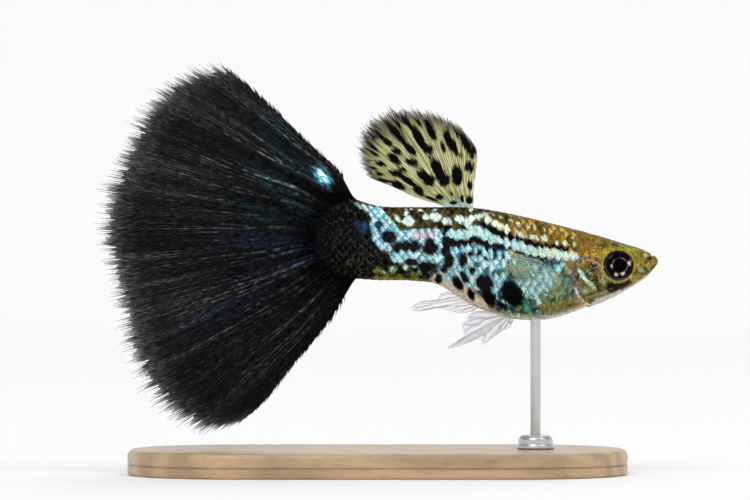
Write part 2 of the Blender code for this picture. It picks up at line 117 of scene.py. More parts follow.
# The tail fin
TAIL_FIN_UPPER_EDGE = [(-2.4, 26.9), (-3.8, 29.2), (-6.1, 31.3), (-9.2, 34.35), (-12.9, 37.7), (-15.2, 39.5)]
TAIL_FIN_LOWER_EDGE = [(-2.3, 18.2), (-4.6, 14.8), (-8.0, 10.7), (-11.4, 6.5), (-13.9, 4.5)]
TAIL_FIN_TIPS = [
    (-13.9, 4.5), (-16.8, 3.95), (-19.5, 5.1), (-22.6, 8.3), (-24.2, 11.6), (-25.0, 15.1),
    (-26.0, 19.0), (-26.9, 23.2), (-26.3, 27.4), (-25.1, 30.5), (-23.9, 33.4), (-22.3, 35.7),
    (-19.8, 38.0), (-17.6, 39.0), (-15.2, 39.5),
]
TAIL_FIN_ROOT_GAP = 0.3
TAIL_FIN_BEND = (0.45, 3.0, 1.2)  # height and number of the ripples, and the slow sway
GLINT_COUNTS = (420.0, 30.0, 1.0)  # dashes across the fin and along its rays
TOOTH_REACH = (0.04, 0.34)  # how far the teeth of the side edges stand out
TOOTH_ROOT = 0.35  # how far inside the edge each tooth begins

# The dorsal fin
DORSAL_FIN_BASE = [(9.2, 25.95), (7.6, 26.0), (5.7, 26.0)]
DORSAL_FIN_FRONT_EDGE = [(9.2, 25.95), (9.25, 27.4), (9.55, 29.6), (9.6, 30.9), (9.3, 31.9)]
DORSAL_FIN_REAR_EDGE = [(5.7, 26.0), (3.7, 26.6), (1.2, 27.75), (-0.9, 28.5)]
DORSAL_FIN_TIPS = [
    (9.3, 31.9), (8.75, 32.6), (7.6, 33.8), (5.7, 34.75), (3.0, 35.35), (0.9, 35.2), (-0.8, 34.3), (-1.8, 32.9),
    (-2.0, 31.2), (-1.7, 29.7), (-0.9, 28.5),
]
DORSAL_FIN_BEND = (0.25, 2.0, 0.5)
DORSAL_FIN_HEART = (7.6, 24.8)  # where its rays would meet
DORSAL_SPOT_SLIP = 0.8  # how far a spot's ends shift from ray to ray

# The small fins, fans from a short base to a chain of tips: base, tips, root's distance out, spread
PECTORAL_FIN = (
    [(17.50, 18.95), (17.25, 18.05)],
    [(12.60, 21.40), (12.30, 20.75), (12.55, 19.80), (13.20, 18.80), (14.10, 17.90), (15.30, 17.30)],
    2.95, 17,
)
PECTORAL_FIN_EDGES = (
    [(17.50, 18.95), (16.30, 20.10), (14.80, 20.80), (12.60, 21.40)],
    [(17.25, 18.05), (16.70, 17.70), (16.00, 17.45), (15.30, 17.30)],
)
PELVIC_FIN = (
    [(12.80, 15.15), (12.05, 15.35)],
    [
        (13.10, 14.85), (12.90, 14.40), (12.70, 14.05), (11.85, 13.70), (11.00, 13.05), (10.15, 12.45),
        (10.05, 12.85), (9.55, 13.05), (8.90, 12.70), (7.75, 12.30), (6.65, 12.05), (7.55, 12.65),
        (8.40, 13.20), (8.30, 13.55), (8.20, 14.35), (8.60, 14.80), (8.75, 15.25), (9.30, 15.65),
        (10.05, 15.70), (10.85, 15.65),
    ],
    0.5, 17,
)
ANAL_FIN = (
    [(9.75, 15.95), (7.45, 17.35)],
    [
        (9.25, 15.70), (8.30, 15.45), (7.55, 15.50), (6.75, 15.70), (6.15, 15.95), (5.25, 16.00),
        (3.90, 15.65), (3.30, 15.70), (3.05, 16.05), (3.55, 16.30), (4.00, 16.60), (4.75, 16.60),
        (5.70, 16.60), (6.00, 17.35), (6.75, 17.60),
    ],
    0.0, 0,
)

# The stand
BASE_LENGTH = 48.0
BASE_WIDTH = 24.0
BASE_HEIGHT = 2.4
BASE_CORNER_RADIUS = 11.0
ROD_PLACE = 15.2
ROD_RADIUS = 0.5
ROD_SINK = 1.5
ROD_TOP = 16.2
COLLAR_RADIUS = 1.8
COLLAR_BORE = 0.55
COLLAR_FOOT = 2.42
COLLAR_HEIGHT = 1.35

# The camera stands square to the fish's right flank
CAMERA_PLACE = (-0.24, -470.0, 21.55)
CAMERA_LENS = 234.5
CAMERA_SENSOR = 36.0

# Colours as a painter would mix them, from 0 to 255
PIGMENTS = {
    "back_line": (116, 108, 62), "gold_painted_highlight": (214, 180, 88), "back_centre": (32, 26, 15), "back_edge": (84, 76, 38), "gold_centre": (136, 106, 40),
    "gold_edge": (66, 48, 18), "ice": (214, 243, 238), "sky": (90, 184, 206), "cyan": (112, 206, 226),
    "mint": (190, 236, 222), "lemon": (232, 236, 186), "deep_blue": (16, 66, 104), "ink": (6, 6, 8),
    "stalk": (5, 5, 7), "stalk_edge": (84, 84, 66), "glint_blue": (40, 68, 104), "teal": (48, 130, 120),
    "deep_teal": (26, 56, 54), "leaf": (120, 132, 60), "indigo": (56, 70, 120), "olive_gold": (140, 122, 52),
    "amber": (176, 120, 40), "moss": (122, 114, 66), "tan": (172, 138, 86),
    "belly": (216, 205, 184), "pink_white": (216, 208, 218), "russet": (132, 72, 56), "silver": (202, 206, 190), "throat": (196, 196, 190),
    "head_ground": (116, 98, 36), "head_olive": (124, 121, 56), "head_yellow": (160, 151, 54),
    "head_gold": (212, 166, 46), "sand": (156, 120, 74), "dark_olive": (48, 44, 22),
    "dark_brown": (48, 35, 20), "umber": (30, 23, 15), "silver_green": (168, 194, 160),
    "cheek_grey": (156, 148, 118), "mauve": (112, 88, 88), "rose": (166, 112, 112), "dark_plum": (58, 42, 38), "peach": (220, 196, 172),
    "pearl": (220, 218, 206), "head_edge": (84, 82, 54), "scale_line": (74, 62, 34),
    "fin_black": (6, 6, 8), "fin_grey": (120, 118, 120), "fin_brown": (82, 68, 54), "fin_teal": (44, 96, 96),
    "fin_blue": (50, 70, 108), "fin_cyan": (96, 176, 206), "fin_tip": (112, 110, 110),
    "dorsal_ground": (206, 206, 150), "dorsal_olive": (160, 158, 94), "dorsal_ray": (238, 236, 198),
    "dorsal_tip": (58, 50, 48), "clear_membrane": (244, 245, 252), "clear_ray": (176, 150, 88),
    "clear_tip": (240, 242, 255), "iris": (6, 6, 8), "pupil": (1, 1, 3), "copper": (172, 140, 124),
    "eye_rim": (120, 128, 150),
}

# Markings seen from the side, as ellipses: place, half length, half width, tilt in degrees
CYAN_PATCHES = [
    (-1.90, 25.95, 0.29, 0.15, -20), (-1.40, 25.70, 0.38, 0.22, -15), (-0.70, 25.45, 0.43, 0.32, -20),
    (-0.60, 25.10, 0.24, 0.24, 0), (0.15, 25.30, 0.53, 0.44, -40), (0.45, 24.80, 0.38, 0.31, 0),
    (-0.25, 24.60, 0.31, 0.40, 0), (0.75, 24.50, 0.48, 0.40, -20), (0.95, 23.95, 0.41, 0.58, 0),
    (0.65, 23.45, 0.34, 0.50, -10), (-0.45, 23.85, 0.25, 0.63, 0), (-0.20, 23.15, 0.25, 0.43, 0),
    (0.05, 22.60, 0.38, 0.63, 10), (0.45, 22.90, 0.23, 0.44, 0), (1.50, 23.80, 0.31, 0.36, -30),
    (1.80, 23.40, 0.21, 0.33, 25), (2.00, 22.85, 0.26, 0.48, 0), (1.70, 22.40, 0.33, 0.22, 25),
    (0.45, 22.00, 0.37, 0.32, -30), (1.10, 21.90, 0.48, 0.36, -20), (1.40, 21.40, 0.26, 0.48, 15),
    (1.80, 20.85, 0.48, 0.46, -20), (2.30, 21.45, 0.19, 0.35, 0), (2.85, 21.05, 0.42, 0.46, 10),
    (3.55, 21.00, 0.38, 0.42, -10), (4.20, 20.75, 0.40, 0.58, 0), (4.15, 21.85, 0.23, 0.48, 0),
    (5.10, 20.80, 0.40, 0.54, 0), (5.75, 20.70, 0.36, 0.60, 0), (6.30, 20.75, 0.32, 0.69, 0),
    (2.65, 19.80, 0.42, 0.42, 0), (3.80, 19.85, 0.42, 0.35, 20), (3.30, 19.80, 0.19, 0.29, 0),
    (8.25, 18.60, 0.09, 0.48, 32),
]
BACK_LINE_PATCHES = [
    (1.90, 24.65, 0.23, 0.35, 30), (2.30, 24.30, 0.38, 0.19, -10), (2.75, 24.95, 0.17, 0.31, 0),
    (3.00, 24.30, 0.50, 0.44, -20), (4.70, 24.75, 0.28, 0.26, 0), (5.55, 24.75, 0.48, 0.35, 10),
    (6.70, 24.30, 0.44, 0.31, 0), (7.90, 24.60, 0.36, 0.35, 0), (8.60, 24.20, 0.35, 0.46, 0),
    (9.15, 24.55, 0.35, 0.31, 20), (9.70, 24.80, 0.38, 0.25, 20), (10.50, 25.05, 0.27, 0.14, 0),
    (10.70, 24.45, 0.35, 0.33, -40), (11.25, 24.05, 0.33, 0.31, -30), (11.80, 23.80, 0.37, 0.31, -40),
    (12.40, 23.45, 0.38, 0.38, -20), (13.60, 23.00, 0.38, 0.31, -20), (14.15, 22.70, 0.29, 0.19, -30),
    (15.05, 22.80, 0.35, 0.25, -30), (15.35, 22.55, 0.25, 0.17, -20), (16.05, 22.65, 0.28, 0.20, 0),
    (17.20, 22.20, 0.19, 0.13, 0), (17.95, 22.20, 0.25, 0.16, 0), (4.10, 25.40, 0.27, 0.12, 0),
    (2.75, 25.45, 0.14, 0.09, 0), (3.25, 25.45, 0.14, 0.09, 0), (5.50, 25.40, 0.19, 0.09, 0),
    (9.00, 25.45, 0.15, 0.10, 40),
]
PALE_GOLD_FLECKS = [
    (11.15, 24.95, 0.13, 0.10, -20), (11.95, 24.65, 0.21, 0.13, -15), (12.85, 24.40, 0.23, 0.14, -20),
    (13.55, 24.05, 0.19, 0.12, 0), (14.50, 23.85, 0.12, 0.15, 0), (15.15, 23.80, 0.12, 0.18, -30),
    (16.05, 23.55, 0.10, 0.15, 0), (18.80, 22.70, 0.10, 0.14, 0), (18.95, 22.15, 0.13, 0.17, 0),
]
BLACK_SPOTS = [
    (12.95, 17.35, 1.18, 0.80, -58), (10.30, 18.40, 0.73, 0.63, -20), (10.75, 17.00, 0.79, 0.48, -58),
    (10.55, 17.70, 0.48, 0.43, -50), (11.90, 16.25, 0.52, 0.21, -32), (7.72, 18.35, 0.72, 0.34, -55),
    (8.35, 18.95, 0.62, 0.25, -57), (9.00, 17.30, 0.52, 0.29, -60), (6.85, 20.45, 0.67, 0.39, -98),
    (8.25, 20.60, 0.37, 0.63, 0), (9.00, 21.15, 0.23, 0.25, 0), (9.80, 21.25, 0.21, 0.29, 0),
    (10.55, 20.70, 0.29, 0.16, -15), (11.30, 20.95, 0.17, 0.27, 0), (12.05, 20.90, 0.20, 0.18, 0),
    (12.55, 20.45, 0.13, 0.14, 0), (9.55, 20.15, 0.25, 0.20, 0), (9.10, 19.60, 0.25, 0.31, 0),
    (5.05, 21.70, 0.65, 0.54, 0), (5.00, 22.20, 0.33, 0.38, 0), (3.55, 21.90, 0.32, 0.46, 0),
    (2.75, 21.95, 0.37, 0.42, 0), (1.85, 21.80, 0.38, 0.42, 0), (1.10, 22.80, 0.60, 0.51, -10),
    (3.20, 20.35, 0.54, 0.34, 0), (4.80, 20.00, 0.77, 0.39, 0), (3.75, 19.35, 0.43, 0.28, 0),
    (5.90, 18.80, 0.31, 0.41, 0), (6.45, 19.75, 0.29, 0.38, 0), (11.70, 21.85, 0.38, 0.29, 0),
]
DARK_TEAL_PATCHES = [
    (10.50, 19.55, 0.50, 0.33, -20), (11.05, 19.30, 0.33, 0.25, 0), (11.85, 19.55, 0.29, 0.33, 0),
    (12.80, 19.00, 0.48, 0.22, -5), (13.75, 19.10, 0.35, 0.42, 0), (14.15, 18.50, 0.29, 0.19, 0),
    (14.65, 20.65, 0.67, 0.21, -30), (15.65, 19.90, 0.29, 0.67, 8), (12.90, 15.85, 0.48, 0.25, -30),
    (13.90, 15.60, 0.42, 0.29, 0), (15.15, 15.85, 0.38, 0.21, 15), (15.95, 20.40, 0.38, 0.42, 0),
]
PALE_SCALES = [
    (13.13, 18.37, 0.27, 0.21, 0), (13.71, 18.28, 0.22, 0.20, 0), (14.38, 18.37, 0.24, 0.20, 0),
    (15.06, 18.28, 0.27, 0.21, 0), (14.09, 17.80, 0.25, 0.21, 0), (14.67, 17.60, 0.25, 0.21, 0),
    (15.15, 17.41, 0.25, 0.21, 0), (14.09, 17.41, 0.18, 0.18, 0), (15.39, 17.03, 0.24, 0.20, 0),
    (15.54, 16.55, 0.20, 0.19, 0), (11.69, 18.76, 0.36, 0.26, 0), (11.88, 18.18, 0.26, 0.24, 0),
    (11.15, 18.00, 0.33, 0.38, 0), (17.43, 19.86, 0.48, 0.22, 35), (16.40, 18.55, 0.26, 0.40, 0),
    (15.85, 17.85, 0.24, 0.34, 0), (16.05, 19.30, 0.22, 0.30, 0), (15.70, 18.75, 0.22, 0.22, 0),
]

# Zones seen from the side, as closed outlines
FLANK_LIGHT = [
    (2.35, 23.40), (3.30, 23.55), (5.05, 23.55), (6.60, 23.45), (8.25, 23.40), (9.40, 23.95),
    (10.25, 23.65), (11.50, 22.50), (12.75, 22.05), (12.95, 20.95), (12.55, 19.60), (12.35, 18.65),
    (11.20, 18.10), (10.25, 17.50), (8.90, 17.90), (7.55, 18.95), (6.70, 18.55), (5.80, 19.60),
    (4.45, 20.40), (3.05, 20.30), (1.80, 20.40), (0.80, 21.55), (0.65, 22.70), (1.40, 23.55),
]
BLACK_STALK = [
    (-3.60, 27.5), (-2.35, 26.05), (-1.70, 25.70), (-1.10, 25.30), (-0.70, 24.70), (-0.90, 24.25),
    (-0.75, 23.35), (-0.35, 22.50), (0.05, 21.75), (0.80, 21.35), (1.30, 20.90), (1.40, 20.35),
    (2.30, 20.15), (4.70, 19.70), (5.10, 19.05), (3.80, 18.85), (0.50, 19.00), (-1.70, 18.95),
    (-4.55, 17.5), (-7.5, 18.0), (-7.5, 27.5),
]
REAR_BELLY = [
    (4.85, 18.35), (5.45, 19.25), (6.60, 19.55), (7.55, 18.95), (8.70, 18.20), (9.85, 17.05),
    (10.80, 15.95), (12.05, 15.40), (13.70, 14.90), (11.80, 14.0), (8.90, 15.5), (6.50, 17.0),
]
GUT = [
    (12.05, 20.40), (13.70, 20.95), (16.10, 20.80), (18.05, 20.40), (18.90, 19.15), (19.30, 16.75),
    (20.45, 16.15), (19.00, 15.20), (15.65, 14.60), (12.95, 14.90), (11.50, 16.15), (11.20, 17.70),
    (11.80, 19.15),
]

# Touches of the brush on body and head: pigment, place, half length, half width, tilt, softness
BODY_TOUCHES = [
    ("olive_gold", 17.55, 16.15, 3.08, 0.58, 8, 0.8), ("amber", 19.65, 16.25, 0.77, 0.34, 15, 0.7),
    ("leaf", 13.25, 19.60, 1.35, 0.67, 0, 0.8), ("leaf", 17.15, 17.50, 0.48, 1.35, -10, 0.7),
    ("teal", 14.20, 16.05, 1.25, 0.55, -22, 0.8), ("teal", 16.10, 19.05, 0.77, 1.35, 0, 0.8),
    ("deep_teal", 16.80, 16.75, 0.29, 0.19, 0, 0.6), ("deep_teal", 15.35, 15.85, 0.38, 0.19, 0, 0.6),
    ("leaf", 13.70, 15.70, 0.77, 0.29, -20, 0.7), ("dark_brown", 18.70, 16.25, 0.38, 0.13, 10, 0.6),
    ("sky", 11.50, 17.60, 0.13, 0.29, 0, 0.5),
    ("indigo", 17.10, 20.20, 0.67, 0.53, 0, 0.7), ("indigo", 13.10, 21.70, 0.96, 0.23, -5, 0.6),
    ("amber", 16.30, 22.15, 0.67, 0.23, -8, 0.7), ("amber", 20.35, 21.85, 0.67, 0.58, 0, 0.9),
    ("deep_blue", 0.15, 23.75, 0.22, 0.54, 0, 0.5), ("deep_blue", 0.25, 23.10, 0.13, 0.13, 0, 0.5),
    ("teal", 4.75, 19.35, 0.29, 0.27, 0, 0.6),
]
STALK_TOUCHES = [
    ("glint_blue", -1.95, 24.05, 0.30, 0.34, 0, 0.9),
    ("glint_blue", -1.20, 24.05, 0.26, 0.38, -20, 0.9), ("glint_blue", -1.35, 23.50, 0.21, 0.21, 0, 0.9),
    ("silver_green", 1.45, 19.70, 0.34, 0.27, 0, 0.9), ("leaf", 0.20, 19.60, 0.36, 0.30, 0, 0.9),
    ("leaf", 0.90, 19.25, 0.60, 0.20, 0, 0.9), ("teal", 1.60, 19.90, 0.16, 0.14, 0, 0.9),
    ("olive_gold", -0.25, 19.50, 0.17, 0.23, 0, 0.9), ("silver_green", 0.60, 19.45, 0.14, 0.12, 0, 0.9),
    ("silver_green", 2.78, 19.87, 0.36, 0.30, 0, 0.9), ("ice", 2.70, 19.92, 0.16, 0.14, 0, 0.9),
    ("silver_green", 4.00, 19.30, 0.24, 0.18, 0, 0.9), ("leaf", 3.30, 19.20, 0.50, 0.20, 0, 0.9),
    ("deep_teal", -0.60, 20.30, 0.24, 0.20, 0, 0.9), ("olive_gold", 2.10, 19.05, 0.42, 0.13, 0, 0.9),
    ("olive_gold", 0.60, 18.95, 0.40, 0.12, 0, 0.9), ("olive_gold", 3.60, 18.90, 0.38, 0.13, 0, 0.9),
]
HEAD_TOUCHES = [
    ("head_olive", 24.50, 21.35, 2.50, 1.25, -22, 0.6), ("head_yellow", 24.50, 21.35, 0.87, 0.48, -30, 0.9),
    ("head_yellow", 25.35, 20.10, 0.77, 0.48, 0, 0.9), ("head_gold", 21.90, 21.35, 0.58, 0.38, 35, 0.8),
    ("head_gold", 20.65, 21.15, 1.15, 0.35, -6, 0.8), ("sand", 20.15, 21.95, 0.34, 0.36, 0, 0.9),
    ("sand", 21.20, 22.40, 0.44, 0.20, -15, 0.9), ("dark_olive", 22.75, 22.15, 0.48, 0.21, -25, 0.9),
    ("dark_olive", 21.40, 21.95, 0.58, 0.24, -10, 0.9), ("leaf", 22.10, 18.85, 0.48, 0.96, -15, 0.8),
    ("head_yellow", 24.70, 18.85, 0.67, 0.48, 30, 0.8), ("silver_green", 24.20, 19.05, 0.38, 0.33, 30, 0.9),
    ("silver_green", 25.35, 19.55, 0.33, 0.23, 0, 0.9), ("head_olive", 19.50, 20.20, 0.48, 0.48, 0, 0.8),
    ("dark_olive", 20.15, 18.90, 0.62, 1.05, 12, 0.9), ("dark_olive", 20.55, 20.05, 0.34, 0.34, 0, 0.8), ("silver_green", 21.75, 19.35, 0.22, 0.45, -12, 0.9),
    ("dark_olive", 20.35, 18.95, 0.30, 0.45, 35, 0.8), ("dark_olive", 19.20, 18.90, 0.14, 0.60, 12, 0.8),
    ("silver_green", 20.20, 19.45, 0.16, 0.12, 0, 0.9), ("ice", 21.75, 19.60, 0.10, 0.12, 0, 0.9),
    ("silver_green", 21.60, 18.60, 0.24, 0.34, 10, 0.9), ("leaf", 20.45, 18.05, 0.42, 0.36, 0, 0.9),
    ("cheek_grey", 21.60, 17.40, 1.25, 0.40, 24, 0.9), ("cheek_grey", 21.90, 18.20, 0.22, 0.24, 0, 0.9),
    ("dark_olive", 20.35, 19.70, 0.42, 0.26, -20, 0.8), ("leaf", 20.60, 19.25, 0.16, 0.12, 0, 0.9),
    ("silver_green", 20.95, 20.35, 0.14, 0.14, 0, 0.9), ("leaf", 19.55, 18.30, 0.20, 0.40, 10, 0.9),
    ("head_olive", 20.15, 17.05, 0.58, 0.58, 0, 0.8), ("silver_green", 19.95, 17.60, 0.29, 0.29, 0, 0.9),
    ("dark_brown", 24.80, 19.30, 0.23, 0.17, -20, 0.7), ("silver", 21.55, 20.65, 0.24, 0.25, 0, 0.8),
    ("dark_brown", 20.55, 16.70, 0.29, 0.14, -10, 0.7), ("dark_brown", 20.45, 17.25, 0.17, 0.12, 0, 0.8),
    ("dark_brown", 18.78, 18.00, 0.22, 0.66, 5, 0.7), ("silver_green", 17.80, 18.20, 0.56, 0.78, -8, 0.5),
    ("dark_olive", 17.80, 18.20, 0.42, 0.62, -8, 0.5), ("dark_brown", 18.05, 19.20, 0.21, 0.18, 0, 0.6),
    ("sand", 19.20, 16.93, 0.34, 0.38, 0, 0.8),
    ("head_gold", 17.20, 19.00, 0.23, 0.29, 0, 0.9), ("peach", 25.75, 21.00, 0.29, 0.19, -25, 0.8),
    ("dark_brown", 25.40, 20.15, 0.14, 0.14, 0, 0.5), ("dark_brown", 25.40, 21.00, 0.14, 0.11, -20, 0.8),
    ("silver", 24.10, 21.65, 0.23, 0.10, -25, 0.9), ("glint_blue", 19.25, 18.35, 0.13, 0.44, 12, 0.5),
    ("sky", 19.20, 18.35, 0.08, 0.33, 12, 0.4), ("sky", 19.35, 17.75, 0.10, 0.15, 20, 0.5),
]
DORSAL_FIN_SPOTS = [
    (8.85, 29.55, 0.45, 0.52, 0), (8.90, 27.80, 0.25, 0.46, 0), (8.85, 26.35, 0.32, 0.37, 0),
    (8.15, 26.50, 0.19, 0.35, 0), (7.30, 26.10, 0.38, 0.19, 0), (7.65, 28.70, 0.92, 0.50, -85),
    (7.05, 31.80, 1.31, 0.38, -63), (8.60, 31.65, 1.35, 0.36, -64), (6.30, 31.50, 0.54, 0.20, -72),
    (8.00, 30.70, 0.38, 0.13, -70), (7.60, 32.95, 0.58, 0.23, -60), (5.10, 33.05, 1.12, 0.31, -65),
    (4.85, 31.20, 0.54, 0.42, -40), (3.95, 32.35, 1.20, 0.38, -61), (2.80, 33.90, 0.87, 0.25, -56),
    (5.90, 29.10, 1.49, 0.48, -62), (6.40, 28.25, 0.54, 0.58, 0), (4.25, 28.85, 0.63, 0.42, -38),
    (4.95, 28.25, 0.56, 0.54, 0), (3.25, 30.05, 0.65, 0.38, -22), (3.10, 31.30, 0.87, 0.32, -47),
    (1.60, 33.05, 0.67, 0.34, -45), (2.20, 32.30, 0.54, 0.28, -45), (0.70, 33.95, 0.63, 0.21, -42),
    (1.85, 31.05, 0.50, 0.31, -32), (1.00, 31.90, 0.51, 0.27, -28), (0.15, 32.65, 0.63, 0.19, -42),
    (1.60, 30.35, 0.77, 0.35, -45), (2.35, 29.30, 0.38, 0.28, -20), (1.85, 28.90, 0.60, 0.34, -20),
    (2.95, 28.20, 0.94, 0.26, -35), (3.95, 27.30, 0.65, 0.37, -46), (0.30, 29.85, 0.51, 0.24, -25),
    (-0.15, 30.70, 0.31, 0.17, -20), (-0.50, 31.50, 0.79, 0.17, -38), (-0.40, 32.30, 0.40, 0.14, -18),
    (-0.40, 29.40, 0.40, 0.14, -12), (-0.65, 30.05, 0.21, 0.10, 0), (0.20, 28.85, 0.36, 0.16, -10),
    (1.95, 27.80, 0.77, 0.33, -24), (0.65, 28.25, 0.67, 0.14, -10), (5.95, 26.65, 0.38, 0.26, -10),
    (5.15, 26.50, 0.71, 0.12, -22), (4.00, 33.75, 0.54, 0.14, -56), (1.85, 33.85, 0.71, 0.16, -52),
    (7.10, 26.95, 0.25, 0.10, -40), (9.30, 31.15, 0.38, 0.19, -70), (-0.65, 31.05, 0.58, 0.12, -30),
    (6.00, 34.25, 0.58, 0.19, -60), (4.55, 34.80, 0.48, 0.19, -58),
]
TAIL_FIN_TOUCHES = [
    ("fin_cyan", -5.35, 28.75, 1.15, 0.60, -52, 0.9), ("ice", -5.30, 28.75, 0.75, 0.26, -52, 0.9),
    ("fin_teal", -8.6, 31.4, 3.6, 1.5, -52, 0.9),
    ("fin_teal", -9.6, 27.6, 4.4, 1.0, -38, 0.9), ("fin_blue", -11.5, 22.6, 4.6, 1.1, -4, 0.9),
    ("fin_blue", -10.5, 19.9, 4.0, 0.9, 14, 0.9), ("fin_teal", -11.8, 25.4, 4.0, 0.9, -24, 0.9),
    ("fin_blue", -14.5, 15.8, 4.5, 1.1, 26, 0.9), ("fin_brown", -14.0, 13.0, 4.0, 0.6, 34, 0.9),
    ("fin_brown", -16.5, 26.5, 3.6, 0.7, -18, 0.9),
]
# Painted highlights on the iris, where the lamps are reflected: copper blotches with pearl middles, a dim one at the
# upper left and a blue-grey glint by the rim. Pigment, place from the eye's middle, half length, half width, tilt,
# softness
EYE_PAINTED_HIGHLIGHTS = [
    ("copper", 0.96, 0.22, 0.24, 0.15, -68, 0.9), ("pearl", 0.98, 0.26, 0.15, 0.08, -68, 0.7),
    ("copper", 0.40, -0.76, 0.22, 0.17, 25, 0.9), ("pearl", 0.41, -0.78, 0.13, 0.09, 30, 0.7),
    ("copper", -0.26, -0.85, 0.19, 0.15, -10, 0.9), ("pearl", -0.24, -0.88, 0.10, 0.07, -10, 0.7),
    ("copper", -0.72, -0.02, 0.11, 0.16, 0, 0.9), ("pearl", -0.73, -0.02, 0.06, 0.09, 0, 0.7),
    ("dorsal_tip", -0.85, 0.80, 0.26, 0.12, 45, 0.9), ("eye_rim", 1.14, 0.42, 0.08, 0.20, 20, 0.9),
]

# Lines drawn with the brush: pigment, half width, softness, points
MAIN_LINE = [
    (7.00, 23.15), (7.65, 23.00), (8.50, 23.05), (9.35, 23.40), (9.95, 23.40), (10.50, 22.90),
    (11.10, 22.60), (11.80, 22.35), (12.70, 22.15), (13.60, 21.95), (14.25, 21.65), (14.95, 21.45),
    (15.65, 21.30), (16.65, 21.25), (17.30, 21.15), (18.00, 21.05), (18.95, 20.90),
]
MARKING_LINES = [
    ("ink", 0.40, 0.4, [
        (7.05, 22.25), (7.95, 22.30), (8.75, 22.35), (9.45, 22.55), (10.00, 22.30), (10.65, 22.05),
        (11.45, 21.90), (12.20, 21.90),
    ]),
    ("ink", 0.46, 0.4, [(6.90, 23.50), (6.78, 22.90), (6.62, 22.20), (6.55, 21.35)]),
    ("ink", 0.40, 0.5, [(1.75, 21.85), (2.75, 21.95), (3.75, 21.85)]),
    ("ink", 0.33, 0.6, [
        (10.25, 23.85), (11.40, 23.40), (12.25, 22.90), (13.70, 22.45), (15.15, 22.10), (16.40, 21.80),
        (18.15, 21.55),
    ]),
    ("ink", 0.18, 0.7, [(12.35, 21.80), (13.25, 21.60), (14.55, 20.95), (15.75, 20.75), (16.50, 20.70)]),
    ("moss", 0.20, 0.9, [(-0.70, 19.05), (0.70, 18.85), (2.15, 18.70), (3.60, 18.60), (5.05, 18.40)]),
    ("tan", 0.13, 0.6, [(4.85, 18.35), (6.50, 17.65), (8.15, 16.65), (9.85, 15.70), (11.80, 15.05), (12.95, 14.85)]),
    ("pink_white", 0.20, 0.9, [(3.40, 22.90), (4.55, 23.05), (5.65, 22.95)]),
    ("russet", 0.05, 0.9, [(4.05, 23.20), (4.15, 22.50)]),
    ("russet", 0.06, 0.9, [(4.45, 23.55), (4.75, 23.00), (5.00, 22.70)]),
    ("russet", 0.05, 0.9, [(5.20, 23.40), (5.45, 22.90)]),
]
THROAT_LINES = [
    ("throat", 0.20, 0.6, [
        (26.30, 19.15), (25.60, 18.60), (24.90, 18.15), (23.40, 17.33), (21.90, 16.68), (20.80, 16.30),
    ]),
    ("throat", 0.14, 0.9, [(23.40, 17.56), (22.70, 17.25), (21.90, 16.92), (21.15, 16.70)]),
]
HEAD_LINES = [
    ("mauve", 0.14, 0.9, [
        (20.45, 20.70), (19.85, 20.80), (19.40, 20.70), (19.05, 20.25), (18.90, 19.60), (18.95, 18.75),
        (19.20, 18.00), (19.50, 17.30),
    ]),
    ("rose", 0.12, 0.9, [(20.35, 20.65), (20.90, 20.40), (21.50, 20.00)]),
    ("silver_green", 0.17, 0.9, [(19.40, 19.60), (19.80, 18.95), (20.30, 18.40), (20.85, 17.95)]),
    ("ice", 0.10, 0.9, [(19.45, 19.50), (19.75, 18.95), (20.15, 18.55)]),
    ("dark_plum", 0.18, 0.8, [(20.90, 20.00), (21.00, 19.35), (21.10, 18.55), (21.30, 17.70)]),
    ("umber", 0.40, 0.9, [(22.35, 17.98), (22.90, 18.05), (23.40, 18.27), (23.95, 18.52)]),
    ("pearl", 0.08, 0.5, [(19.05, 17.90), (19.35, 17.15), (19.95, 16.45), (20.50, 16.20)]),
    ("dark_brown", 0.07, 0.7, [(26.40, 20.95), (26.10, 20.62), (25.75, 20.30)]),
    ("dark_olive", 0.06, 0.8, [(25.50, 20.00), (25.95, 19.50)]),
]


# What a user may change

class GuppyFish(bpy.types.PropertyGroup):
    """Choices for the fish."""

    scale_spacing: FloatProperty(
        name="Scale spacing", description="Distance between neighbouring scales along the body, in mm",
        default=0.75, min=0.4, max=2.0)
    scale_rows: IntProperty(
        name="Scale rows", description="Rows of scales round the whole body, an even number",
        default=36, min=12, max=60)
    scale_lift: FloatProperty(
        name="Scale lift", description="How far a scale's free edge stands up from the skin, in mm",
        default=0.06, min=0.0, max=0.2)
    skin_roughness: FloatProperty(
        name="Skin roughness", description="How dull the wet skin is", default=0.38, min=0.05, max=1.0)
    tail_rays: IntProperty(
        name="Tail fin rays", description="Rays at the root of the tail fin, each of which forks three times",
        default=38, min=8, max=60)
    dorsal_rays: IntProperty(
        name="Dorsal fin rays", description="Rays at the root of the dorsal fin, each of which forks three times",
        default=12, min=6, max=30)


class GuppyStand(bpy.types.PropertyGroup):
    """Choices for the stand and the stage."""

    wood: FloatVectorProperty(
        name="Wood", description="The wooden base's main colour", subtype="COLOR", size=3,
        default=(0.50, 0.34, 0.19), min=0, max=1)
    steel: FloatVectorProperty(
        name="Steel", description="The rod's and the collar's colour", subtype="COLOR", size=3,
        default=(0.62, 0.62, 0.63), min=0, max=1)
    floor: FloatVectorProperty(
        name="Floor", description="The stage's colour", subtype="COLOR", size=3,
        default=(0.975, 0.975, 0.975), min=0, max=1)
    light: FloatProperty(
        name="Light", description="Strength of all the lamps", default=0.44, min=0.0, max=10.0)


# Numbers and curves

def smooth(value):
    """0 below 0, 1 above 1, and an even S between them."""
    t = np.clip(value, 0, 1)
    return t * t * (3 - 2 * t)


def step(value, low, high):
    """Rises smoothly from 0 at low to 1 at high, or falls if high is the smaller."""
    return smooth((value - low) / (high - low))


